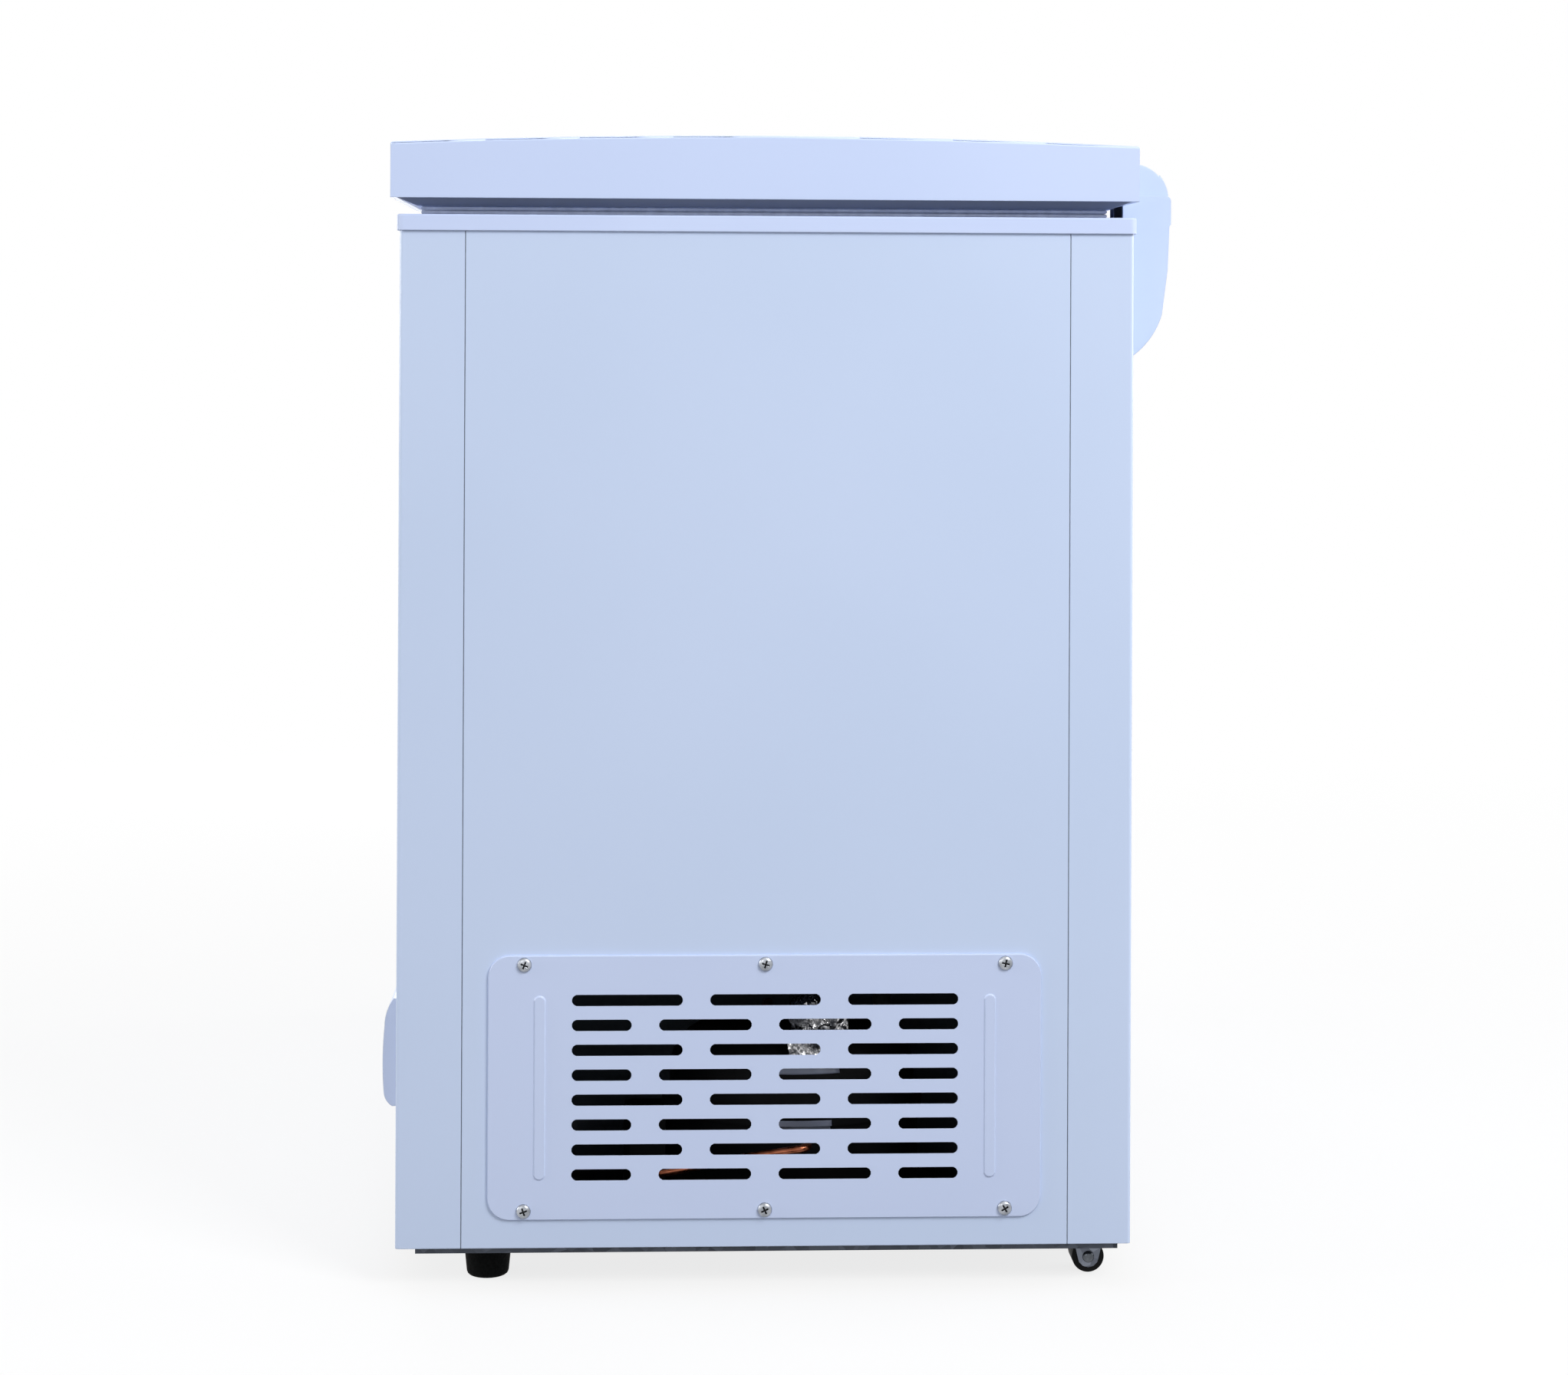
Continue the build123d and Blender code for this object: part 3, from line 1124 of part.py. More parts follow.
# Counterbalanced hinges. The leaf turns on the pin, and its tail works a rod that the spring pulls down.
pin_y = REAR_Y + PIN_OFFSET
tail_offset = PIN_OFFSET + TAIL_REACH * cos(radians(TAIL_ANGLE))
tail_z = PIN_Z + TAIL_REACH * sin(radians(TAIL_ANGLE))
bridge_z = TRIM_BOTTOM - 5
seat_z = bridge_z - SPRING_LENGTH
base_low = SCREW_LOW_Z - 6
cover_half = HINGE_COVER_WIDTH / 2
cheek_in = BASE_HALF - HINGE_SHEET
arm_in = LEAF_HALF - HINGE_SHEET
for side, sx in SIDES:
    hx = sx * hinge_x
    with BuildPart() as hinge_base:
        with BuildSketch(Plane.XZ.offset(-REAR_Y)):
            with Locations((hx, (base_low + TRIM_BOTTOM - 2) / 2)):
                Rectangle(2 * BASE_HALF, TRIM_BOTTOM - 2 - base_low)
            for z in (SCREW_LOW_Z, SCREW_HIGH_Z):
                with Locations((hx, z)):
                    bore(HINGE_SCREW_R, 6)
        extrude(amount=-HINGE_SHEET)
        for end in (-1, 1):
            with BuildSketch(hinge_plane(hx + end * cheek_in)):
                with BuildLine():
                    Polyline(
                        (0, base_low),
                        (9, base_low),
                        (33, base_low + 32),
                        (33, TRIM_BOTTOM - 1),
                        (16, TRIM_BOTTOM + 1),
                        (PIN_OFFSET + KNUCKLE_R, PIN_Z),
                        (PIN_OFFSET - KNUCKLE_R, PIN_Z),
                        (PIN_OFFSET - KNUCKLE_R, TRIM_BOTTOM + 2),
                        (0, TRIM_BOTTOM - 2),
                        close=True,
                    )
                make_face()
                with Locations((PIN_OFFSET, PIN_Z)):
                    stud(KNUCKLE_R)
                    bore(PIN_R + RUNNING)
            extrude(amount=end * HINGE_SHEET)
        with BuildSketch(Plane.XY.offset(bridge_z)):
            with Locations((hx, REAR_Y + 17.5)):
                Rectangle(2 * cheek_in, 31)
            with Locations((hx, REAR_Y + tail_offset + 0.5)):
                Rectangle(2 * ROD_R + 3, 14, mode=Mode.SUBTRACT)
        extrude(amount=HINGE_SHEET)
    keep(hinge_base, f"{side}_hinge_base")

    with BuildPart() as hinge_leaf:
        with BuildSketch(hinge_plane(hx)):
            with Locations((LID_REAR_OVERHANG + LEAF_SHEET / 2, PIN_Z + 10)):
                Rectangle(LEAF_SHEET, 23)
        extrude(amount=LEAF_HALF, both=True)
        with BuildSketch(Plane.XZ.offset(-LID_REAR)):
            with Locations((hx - LEAF_SCREW_X, LEAF_SCREW_Z), (hx + LEAF_SCREW_X, LEAF_SCREW_Z)):
                RegularPolygon(HINGE_SCREW_R, 6, major_radius=False)
        extrude(amount=-LEAF_SHEET, mode=Mode.SUBTRACT)
        for end in (-1, 1):
            with BuildSketch(hinge_plane(hx + end * arm_in)):
                with BuildLine():
                    Polyline(
                        (LID_REAR_OVERHANG, PIN_Z - 1.5),
                        (LID_REAR_OVERHANG, PIN_Z + 21.5),
                        (PIN_OFFSET - 2, PIN_Z + 21.5),
                        (tail_offset + 2, tail_z + 4),
                        (tail_offset + 4, tail_z - 2),
                        (PIN_OFFSET + 3, PIN_Z - 5),
                        (PIN_OFFSET - 3, PIN_Z - 5),
                        close=True,
                    )
                make_face()
                with Locations((PIN_OFFSET, PIN_Z)):
                    stud(KNUCKLE_R)
                with Locations((tail_offset, tail_z)):
                    stud(TAIL_PIN_R + 2.5)
                with Locations((PIN_OFFSET, PIN_Z)):
                    Circle(PIN_R + RUNNING, mode=Mode.SUBTRACT)
            extrude(amount=end * HINGE_SHEET)
        with BuildSketch(hinge_plane(hx)):
            with Locations((tail_offset, tail_z)):
                Circle(TAIL_PIN_R)
        extrude(amount=arm_in, both=True)
    keep(hinge_leaf, f"{side}_hinge_leaf")

    with BuildPart() as hinge_rod:
        with BuildSketch(hinge_plane(hx)):
            with Locations((tail_offset, tail_z)):
                stud(TAIL_PIN_R + 2.5, 8)
                Circle(TAIL_PIN_R + RUNNING, mode=Mode.SUBTRACT)
        extrude(amount=4, both=True)
        with BuildSketch(Plane.XY.offset(seat_z - 9)):
            with Locations((hx, REAR_Y + tail_offset)):
                stud(ROD_R, 6)
        extrude(amount=tail_z - TAIL_PIN_R - 1 - seat_z + 9)
        with BuildSketch(Plane.XY.offset(seat_z - 3)):
            with Locations((hx, REAR_Y + tail_offset)):
                stud(SPRING_R + SPRING_WIRE / 2 - FIT)
        extrude(amount=3)
        with BuildSketch(Plane.XY.offset(seat_z - 7)):
            with Locations((hx, REAR_Y + tail_offset)):
                RegularPolygon(4.6, 6)
        extrude(amount=4)
    keep(hinge_rod, f"{side}_hinge_rod")

    with BuildPart() as hinge_cover:
        with BuildSketch(hinge_plane(hx)):
            with BuildLine():
                ThreePointArc(
                    (FIT, TRIM_BOTTOM - 98), (21.5, TRIM_BOTTOM - 83), (HINGE_PROUD - 6.8, TRIM_BOTTOM - 59)
                )
                FilletPolyline(
                    (HINGE_PROUD - 6.8, TRIM_BOTTOM - 59),
                    (HINGE_PROUD - 2.4, TRIM_BOTTOM - 24),
                    (HINGE_PROUD - 1.2, TRIM_BOTTOM + 9),
                    (HINGE_PROUD, TRIM_BOTTOM + 10.5),
                    (HINGE_PROUD, PIN_Z + 2.5),
                    (LID_REAR_OVERHANG + 1.4, PIN_Z + 2.5),
                    (LID_REAR_OVERHANG + 1.4, TRIM_BOTTOM - 1),
                    (FIT, TRIM_BOTTOM - 1),
                    (FIT, TRIM_BOTTOM - 98),
                    radius=(0, 0, 0, 4.5, 0, 0, 0),
                )
            make_face()
        extrude(amount=cover_half, both=True)
        with BuildSketch(hinge_plane(hx)):
            with BuildLine():
                ThreePointArc(
                    (-1, TRIM_BOTTOM - 96.7),
                    (20.7, TRIM_BOTTOM - 81.6),
                    (HINGE_PROUD - 6.8 - COVER_WALL, TRIM_BOTTOM - 58.6),
                )
                Polyline(
                    (HINGE_PROUD - 6.8 - COVER_WALL, TRIM_BOTTOM - 58.6),
                    (HINGE_PROUD - 2.4 - COVER_WALL, TRIM_BOTTOM - 24),
                    (HINGE_PROUD - 1.2 - COVER_WALL, TRIM_BOTTOM + 9.5),
                    (HINGE_PROUD - COVER_WALL, TRIM_BOTTOM + 11),
                    (HINGE_PROUD - COVER_WALL, PIN_Z + 20),
                    (-1, PIN_Z + 20),
                    (-1, TRIM_BOTTOM - 96.7),
                )
            make_face()
        extrude(amount=cover_half - COVER_WALL, both=True, mode=Mode.SUBTRACT)
        with BuildSketch(hinge_plane(hx)):
            with BuildLine():
                Polyline(
                    (HINGE_PROUD - 0.5, TRIM_BOTTOM + 17),
                    (HINGE_PROUD + CATCH_PROUD, TRIM_BOTTOM + 15),
                    (HINGE_PROUD + CATCH_PROUD, TRIM_BOTTOM + 11.5),
                    (HINGE_PROUD - 0.5, TRIM_BOTTOM + 10),
                    close=True,
                )
            make_face()
        extrude(amount=18, both=True)
    keep(hinge_cover, f"{side}_hinge_cover")

    hood_half = cover_half - COVER_WALL - HOOD_SIDE_PLAY
    hood_low = PIN_Z + 1
    hood_front = PIN_OFFSET - LID_REAR_OVERHANG
    crest = (LID_REAR_OVERHANG, PIN_Z + sqrt(HOOD_R**2 - hood_front**2))
    lip_cos = cos(radians(HOOD_LIP_ANGLE))
    lip_sin = sin(radians(HOOD_LIP_ANGLE))
    rod_reach = TAIL_REACH * cos(radians(LID_OPENING - TAIL_ANGLE)) + ROD_R
    notch_turn = radians(LID_OPENING + 3) - acos(rod_reach / (HOOD_R - COVER_WALL))
    notch_top = PIN_Z + HOOD_LIP_R * sin(notch_turn)
    with BuildPart() as hinge_hood:
        with BuildSketch(hinge_plane(hx)):
            with BuildLine():
                Line((LID_REAR_OVERHANG, hood_low), crest)
                ThreePointArc(
                    crest,
                    (PIN_OFFSET + HOOD_R * cos(radians(75)), PIN_Z + HOOD_R * sin(radians(75))),
                    (PIN_OFFSET + HOOD_R * lip_cos, PIN_Z + HOOD_R * lip_sin),
                )
                Line(
                    (PIN_OFFSET + HOOD_R * lip_cos, PIN_Z + HOOD_R * lip_sin),
                    (PIN_OFFSET + HOOD_LIP_R * lip_cos, PIN_Z + HOOD_LIP_R * lip_sin),
                )
                ThreePointArc(
                    (PIN_OFFSET + HOOD_LIP_R * lip_cos, PIN_Z + HOOD_LIP_R * lip_sin),
                    (PIN_OFFSET + HOOD_LIP_R * cos(radians(20)), PIN_Z + HOOD_LIP_R * sin(radians(20))),
                    (PIN_OFFSET + sqrt(HOOD_LIP_R**2 - 1), hood_low),
                )
                Line((PIN_OFFSET + sqrt(HOOD_LIP_R**2 - 1), hood_low), (LID_REAR_OVERHANG, hood_low))
            make_face()
        extrude(amount=hood_half, both=True)
        with BuildSketch(hinge_plane(hx)):
            with Locations((PIN_OFFSET, PIN_Z)):
                Circle(HOOD_R - COVER_WALL)
        extrude(amount=hood_half - COVER_WALL, both=True, mode=Mode.SUBTRACT)
        # A notch in the lip straddles the rod when the lid is open.
        with BuildSketch(hinge_plane(hx)):
            with Locations((PIN_OFFSET + HOOD_LIP_R, (notch_top + PIN_Z) / 2)):
                Rectangle(HOOD_LIP_R, notch_top - PIN_Z)
        extrude(amount=ROD_R + 1, both=True, mode=Mode.SUBTRACT)
    keep(hinge_hood, f"{side}_hinge_hood")

with BuildPart() as hinge_pins:
    for side, sx in SIDES:
        with BuildSketch(Plane.YZ.offset(sx * hinge_x)):
            with Locations((pin_y, PIN_Z)):
                Circle(PIN_R)
        extrude(amount=BASE_HALF, both=True)
        for end in (-1, 1):
            with BuildSketch(Plane.YZ.offset(sx * hinge_x + end * BASE_HALF)):
                with Locations((pin_y, PIN_Z)):
                    stud(PIN_R + 1.5)
            extrude(amount=end * 2)
keep(hinge_pins, "hinge_pins")

with BuildPart() as hinge_springs:
    coil_height = SPRING_LENGTH - 2 * FIT - SPRING_WIRE
    steps = SPRING_TURNS * SPRING_SIDES
    for side, sx in SIDES:
        coil = []
        for k in range(steps + 1):
            turn = 2 * pi * k / SPRING_SIDES
            x = sx * hinge_x + SPRING_R * cos(turn)
            y = REAR_Y + tail_offset + SPRING_R * sin(turn)
            coil.append((x, y, seat_z + FIT + SPRING_WIRE / 2 + coil_height * k / steps))
        mitred_tube(coil, SPRING_WIRE)
keep(hinge_springs, "hinge_springs")

with BuildPart() as hinge_base_screws:
    for side, sx in SIDES:
        for z in (SCREW_LOW_Z, SCREW_HIGH_Z):
            with BuildSketch(Plane.XZ.offset(-REAR_Y - HINGE_SHEET)):
                with Locations((sx * hinge_x, z)):
                    RegularPolygon(4.6, 6)
            extrude(amount=-3)
            with BuildSketch(Plane.XZ.offset(-REAR_Y - HINGE_SHEET)):
                with Locations((sx * hinge_x, z)):
                    RegularPolygon(HINGE_SCREW_R, 6)
            extrude(amount=HINGE_SHEET + SHEET + BACKING)
keep(hinge_base_screws, "hinge_base_screws")

with BuildPart() as hinge_leaf_screws:
    for side, sx in SIDES:
        for dx in (-LEAF_SCREW_X, LEAF_SCREW_X):
            with BuildSketch(Plane.XZ.offset(-LID_REAR - LEAF_SHEET)):
                with Locations((sx * hinge_x + dx, LEAF_SCREW_Z)):
                    RegularPolygon(4.6, 6)
            extrude(amount=-2.5)
            with BuildSketch(Plane.XZ.offset(-LID_REAR - LEAF_SHEET)):
                with Locations((sx * hinge_x + dx, LEAF_SCREW_Z)):
                    RegularPolygon(HINGE_SCREW_R, 6)
            extrude(amount=LEAF_SHEET + SHEET + BACKING)
keep(hinge_leaf_screws, "hinge_leaf_screws")

# Hanging basket of welded wire, hooked over the trim at the front and the rear.
open_half = LINER_DEPTH / 2 - FIT - TRIM_LIP
basket_half = open_half - BASKET_SIDE_PLAY
basket_right = END_X - BASKET_END
basket_mid = basket_right - BASKET_LENGTH / 2
basket_low = TRIM_TOP - BASKET_DROP
rim_z = TRIM_TOP - RIM_WIRE
HOOK_REACH = 13.0
HOOK_OFFSET = 70.0
with BuildPart() as basket:
    for z, wire in ((rim_z, RIM_WIRE), ((rim_z + basket_low) / 2, WIRE)):
        with BuildSketch(Plane.XY.offset(z - wire / 2)):
            with Locations((basket_mid, MID_Y)):
                Rectangle(BASKET_LENGTH, 2 * basket_half)
                Rectangle(BASKET_LENGTH - 2 * wire, 2 * basket_half - 2 * wire, mode=Mode.SUBTRACT)
        extrude(amount=wire)
    for k in range(CROSS_WIRES):
        x = basket_mid + (BASKET_LENGTH - WIRE) * (k / (CROSS_WIRES - 1) - 0.5)
        with BuildSketch(Plane.YZ.offset(x)):
            with Locations((MID_Y, (rim_z + basket_low) / 2)):
                Rectangle(2 * basket_half, rim_z - basket_low)
            with Locations((MID_Y, (rim_z + basket_low) / 2 + WIRE)):
                Rectangle(2 * basket_half - 2 * WIRE, rim_z - basket_low, mode=Mode.SUBTRACT)
        extrude(amount=WIRE / 2, both=True)
    for k in range(LONG_WIRES):
        y = MID_Y + (2 * basket_half - WIRE) * (k / (LONG_WIRES - 1) - 0.5)
        with BuildSketch(Plane.XZ.offset(-y)):
            with Locations((basket_mid, (rim_z + basket_low) / 2)):
                Rectangle(BASKET_LENGTH, rim_z - basket_low)
            with Locations((basket_mid, (rim_z + basket_low) / 2 + WIRE)):
                Rectangle(BASKET_LENGTH - 2 * WIRE, rim_z - basket_low, mode=Mode.SUBTRACT)
        extrude(amount=WIRE / 2, both=True)
    for x in (basket_mid - HOOK_OFFSET, basket_mid + HOOK_OFFSET):
        for end in (-1, 1):
            inner = MID_Y + end * (basket_half - RIM_WIRE)
            outer = MID_Y + end * (open_half + HOOK_REACH)
            bar = TRIM_TOP + FIT
            with BuildSketch(Plane.YZ.offset(x)):
                with BuildLine():
                    Polyline(
                        (inner, rim_z),
                        (inner, bar + RIM_WIRE),
                        (outer, bar + RIM_WIRE),
                        (outer, bar),
                        (inner + end * RIM_WIRE, bar),
                        (inner + end * RIM_WIRE, rim_z),
                        close=True,
                    )
                make_face()
            extrude(amount=RIM_WIRE / 2, both=True)
keep(basket, "basket")
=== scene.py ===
from math import cos, pi, radians, sin

import bmesh
import bpy
from mathutils import Matrix, Vector, noise


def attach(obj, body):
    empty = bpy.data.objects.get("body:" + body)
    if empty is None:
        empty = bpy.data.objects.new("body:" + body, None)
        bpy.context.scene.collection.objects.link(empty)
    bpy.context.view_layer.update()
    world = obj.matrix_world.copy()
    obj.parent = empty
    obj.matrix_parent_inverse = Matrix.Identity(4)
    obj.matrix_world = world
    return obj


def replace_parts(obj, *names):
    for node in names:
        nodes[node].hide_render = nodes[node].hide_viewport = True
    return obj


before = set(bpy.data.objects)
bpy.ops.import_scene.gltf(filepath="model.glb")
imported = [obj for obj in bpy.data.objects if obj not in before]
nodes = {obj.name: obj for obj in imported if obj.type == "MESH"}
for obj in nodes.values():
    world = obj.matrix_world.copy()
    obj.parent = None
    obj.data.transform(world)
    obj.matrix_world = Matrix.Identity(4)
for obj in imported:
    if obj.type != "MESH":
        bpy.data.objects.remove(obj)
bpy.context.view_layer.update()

MM = 0.001

# Mesh and curve settings: welding distance, sides of a turned piece, and how far a pipe's handles reach.
WELD = 1e-6
TURNED_SIDES = 48
BEND_HANDLE = 0.45
RUN_HANDLE = 0.3

# Places that several pieces share, in metres, in the row frame.
END_X = 0.4525
FRONT_Y = -0.28625
MID_Y = -0.01475
VENT_FACE_X = 0.4545
VENT_Z = 0.149
RAIL_X = 0.4105


def srgb(red, green, blue):
    """Linear colour of an 8-bit screen colour."""
    shares = [channel / 255 for channel in (red, green, blue)]
    return tuple(s / 12.92 if s <= 0.04045 else ((s + 0.055) / 1.055) ** 2.4 for s in shares) + (1.0,)


# Materials


class Surface:
    """A Principled material whose patterns are laid out in the row frame, in metres."""

    def __init__(self, name, roughness=0.5, metallic=0.0, **sockets):
        self.material = bpy.data.materials.new(name)
        self.material.use_nodes = True
        self.tree = self.material.node_tree
        self.shader = self.tree.nodes["Principled BSDF"]
        self.place = self.node("ShaderNodeTexCoord").outputs["Object"]
        self.set(Roughness=roughness, Metallic=metallic)
        for socket, value in sockets.items():
            self.shader.inputs[socket.replace("_", " ")].default_value = value

    def set(self, **sockets):
        for socket, value in sockets.items():
            self.shader.inputs[socket].default_value = value

    def node(self, kind, **settings):
        made = self.tree.nodes.new(kind)
        for key, value in settings.items():
            setattr(made, key, value)
        return made

    def link(self, source, target):
        self.tree.links.new(source, target)

    def noise(self, scale, detail=3.0):
        texture = self.node("ShaderNodeTexNoise")
        texture.inputs["Scale"].default_value = scale
        texture.inputs["Detail"].default_value = detail
        self.link(self.place, texture.inputs["Vector"])
        return texture.outputs["Fac"]

    def cells(self, scale, feature="F1", output="Distance"):
        texture = self.node("ShaderNodeTexVoronoi", feature=feature)
        texture.inputs["Scale"].default_value = scale
        self.link(self.place, texture.inputs["Vector"])
        return texture.outputs[output]

    def ranged(self, factor, low, high, start=0.3, end=0.7):
        span = self.node("ShaderNodeMapRange")
        span.inputs["From Min"].default_value = start
        span.inputs["From Max"].default_value = end
        span.inputs["To Min"].default_value = low
        span.inputs["To Max"].default_value = high
        self.link(factor, span.inputs["Value"])
        return span.outputs["Result"]

    def colour(self, factor, first, second, start=0.3, end=0.7):
        ramp = self.node("ShaderNodeValToRGB")
        ramp.color_ramp.elements[0].position = start
        ramp.color_ramp.elements[0].color = first
        ramp.color_ramp.elements[1].position = end
        ramp.color_ramp.elements[1].color = second
        self.link(factor, ramp.inputs["Fac"])
        self.link(ramp.outputs["Color"], self.shader.inputs["Base Color"])
        return self

    def roughness(self, factor, low, high, start=0.3, end=0.7):
        self.link(self.ranged(factor, low, high, start, end), self.shader.inputs["Roughness"])
        return self

    def relief(self, height, strength, distance, edge=0.0):
        """Bump from a height pattern, over edges softened to a radius where one is given."""
        bump = self.node("ShaderNodeBump")
        bump.inputs["Strength"].default_value = strength
        bump.inputs["Distance"].default_value = distance
        self.link(height, bump.inputs["Height"])
        if edge:
            bevel = self.node("ShaderNodeBevel", samples=6)
            bevel.inputs["Radius"].default_value = edge
            self.link(bevel.outputs["Normal"], bump.inputs["Normal"])
        self.link(bump.outputs["Normal"], self.shader.inputs["Normal"])
        return self


def paint(name, first, second, roughness, edge, coat=0.25, shine=0.5):
    """Sprayed enamel: a slow drift of tone, faint orange peel and a thin clear coat."""
    made = Surface(name, roughness, Coat_Weight=coat, Coat_Roughness=0.12, Specular_IOR_Level=shine)
    made.colour(made.noise(2.2, 2.0), first, second)
    made.roughness(made.noise(9.0), roughness - 0.05, roughness + 0.06)
    return made.relief(made.noise(420.0, 2.0), 0.05, 0.0002, edge).material


def moulding(name, first, second, roughness, edge, grain=0.12, shine=0.5):
    """Injection-moulded plastic with a fine spark-eroded grain."""
    made = Surface(name, roughness, Specular_IOR_Level=shine)
    made.colour(made.noise(6.0, 2.0), first, second)
    made.roughness(made.noise(60.0), roughness - 0.04, roughness + 0.06)
    return made.relief(made.noise(2600.0, 2.0), grain, 0.0001, edge).material


def zinc_coat(name, first, second, roughness, scale):
    """Galvanised sheet: flat spangles of slightly different tone."""
    made = Surface(name, roughness, 0.85)
    made.colour(made.cells(scale, output="Color"), first, second, 0.1, 0.9)
    made.roughness(made.noise(scale * 0.7), roughness - 0.08, roughness + 0.12)
    return made.relief(made.noise(900.0), 0.08, 0.0001, 0.0004).material


def drawn_metal(name, first, second, roughness, scale=160.0):
    """Drawn or turned metal with a mottled tarnish."""
    made = Surface(name, roughness, 1.0)
    made.colour(made.noise(scale, 5.0), first, second)
    made.roughness(made.noise(scale * 2.3), roughness - 0.07, roughness + 0.12)
    return made.relief(made.noise(1500.0), 0.06, 0.0001).material


def rubbery(name, first, second, roughness, shine=0.25):
    """Rubber with dust in its pores."""
    made = Surface(name, roughness, Specular_IOR_Level=shine)
    made.colour(made.noise(140.0, 5.0), first, second, 0.35, 0.8)
    made.roughness(made.noise(500.0), roughness - 0.08, roughness + 0.1)
    return made.relief(made.noise(1800.0), 0.15, 0.0002, 0.0006).material


def embossed_aluminium():
    made = Surface("embossed_aluminium", 0.36, 0.9)
    made.colour(made.noise(5.0), srgb(205, 208, 212), srgb(228, 231, 235))
    made.roughness(made.noise(30.0), 0.3, 0.46)
    return made.relief(made.cells(170.0, "SMOOTH_F1"), 0.3, 0.0012).material


def rigid_foam():
    made = Surface("rigid_foam", 0.85)
    made.colour(made.cells(380.0), srgb(214, 190, 140), srgb(238, 220, 178), 0.0, 0.8)
    made.roughness(made.noise(90.0), 0.8, 0.95)
    return made.relief(made.cells(520.0), 0.4, 0.0006).material


def foil_painted_reflection():
    made = Surface("foil_painted_reflection", 0.2, 1.0)
    # The bright patches are the foil's own colour; the dark patches are a painted reflection of the dark
    # bay around it.
    made.colour(made.noise(70.0, 2.0), srgb(84, 86, 92), srgb(226, 226, 228), 0.4, 0.62)
    made.roughness(made.noise(120.0), 0.12, 0.3)
    return made.relief(made.cells(95.0), 0.9, 0.004).material


def lamp_lens(name, first, second):
    made = Surface(name, 0.18, Coat_Weight=0.4)
    made.colour(made.noise(300.0), first, second)
    made.roughness(made.noise(700.0), 0.12, 0.26)
    return made.relief(made.cells(1500.0), 0.2, 0.0003).material


LID_PAINT = paint("lid_paint", srgb(199, 214, 247), srgb(205, 219, 251), 0.34, 0.0006, coat=0.1, shine=0.3)
PANEL_PAINT = paint("panel_paint", srgb(196, 212, 240), srgb(201, 216, 244), 0.36, 0.0008)
VENT_PAINT = paint("vent_paint", srgb(196, 209, 240), srgb(202, 215, 245), 0.42, 0.0003)
TRIM_PLASTIC = moulding("trim_plastic", srgb(200, 214, 247), srgb(206, 220, 251), 0.42, 0.0012)
HINGE_PLASTIC = moulding("hinge_plastic", srgb(197, 213, 243), srgb(203, 218, 247), 0.40, 0.0012)
# Paler than the trim's plastic: painted light on the control housing, whose sides face away from the key
# lamp.
CONTROL_PLASTIC_PAINTED_LIGHT = moulding("control_plastic_painted_light", srgb(218, 228, 253), srgb(224, 234, 254), 0.38, 0.0010)
LINER_PLASTIC = moulding(
    "lid_liner_plastic", srgb(200, 214, 244), srgb(207, 220, 248), 0.5, 0.0030, grain=0.2
)
# Grey plastic that is painted shade, for the lid liner's sloping border at both ends under the lid's
# overhang.
BORDER_PAINTED_SHADE = moulding(
    "lid_border_painted_shade", srgb(122, 130, 150), srgb(138, 146, 166), 0.55, 0.0008, grain=0.2, shine=0.2
)
KNOB_PLASTIC = moulding("knob_plastic", srgb(150, 160, 178), srgb(162, 172, 190), 0.45, 0.0010, grain=0.2)
MARK_PLASTIC = moulding("mark_plastic", srgb(52, 58, 70), srgb(66, 72, 84), 0.5, 0.0002)
BLACK_PLASTIC = moulding(
    "black_plastic", srgb(8, 9, 9), srgb(16, 17, 18), 0.55, 0.0008, grain=0.25, shine=0.12
)
GASKET_RUBBER = rubbery("gasket_rubber", srgb(188, 196, 216), srgb(210, 218, 236), 0.62)
BLACK_RUBBER = rubbery("black_rubber", srgb(3, 4, 4), srgb(10, 11, 11), 0.8, shine=0.08)
GALVANISED = zinc_coat("galvanised", srgb(96, 101, 112), srgb(136, 142, 154), 0.48, 110.0)
RAIL_STEEL = zinc_coat("rail_steel", srgb(58, 62, 70), srgb(84, 89, 99), 0.5, 110.0)
RIVET_STEEL = drawn_metal("rivet_steel", srgb(66, 70, 75), srgb(104, 108, 114), 0.22)
PLATED = drawn_metal("zinc_plated", srgb(138, 142, 149), srgb(188, 192, 199), 0.3)
# Dark metal for the screws' cross recesses: painted shade in the recess.
RECESS_PAINTED_SHADE = drawn_metal("driver_recess_painted_shade", srgb(30, 31, 33), srgb(58, 60, 63), 0.5)
# Grey for the strips sunk in the panel seams: painted shade for the gaps between the panels.
SEAM_PAINTED_SHADE = rubbery("seam_painted_shade", srgb(104, 111, 126), srgb(122, 130, 146), 0.6)
PIPE_FOAM = rubbery("pipe_foam", srgb(12, 12, 13), srgb(26, 26, 27), 0.85)
SPRING_STEEL = drawn_metal("spring_steel", srgb(58, 58, 60), srgb(92, 92, 95), 0.4)
TUBE_STEEL = drawn_metal("tube_steel", srgb(82, 84, 88), srgb(120, 122, 126), 0.42)
TUBE_ALUMINIUM = drawn_metal("tube_aluminium", srgb(178, 180, 184), srgb(210, 212, 215), 0.36)
COPPER = drawn_metal("copper", srgb(132, 70, 46), srgb(206, 128, 96), 0.3, scale=90.0)
SHELL_PAINT = paint("shell_paint", srgb(10, 11, 13), srgb(16, 17, 20), 0.55, 0.0010, coat=0.0, shine=0.1)
BAY_PAINT = paint("bay_paint", srgb(104, 112, 124), srgb(116, 124, 136), 0.8, 0.0010, coat=0.0, shine=0.1)
PLATE_PAINT = paint("plate_paint", srgb(124, 132, 154), srgb(142, 150, 172), 0.5, 0.0004)
WIRE_COAT = moulding("wire_coat", srgb(206, 216, 238), srgb(216, 226, 246), 0.35, 0.0)
ALUMINIUM = embossed_aluminium()
FOAM = rigid_foam()
FOIL = foil_painted_reflection()
LENS = lamp_lens("lamp_lens", srgb(120, 164, 92), srgb(150, 192, 116))

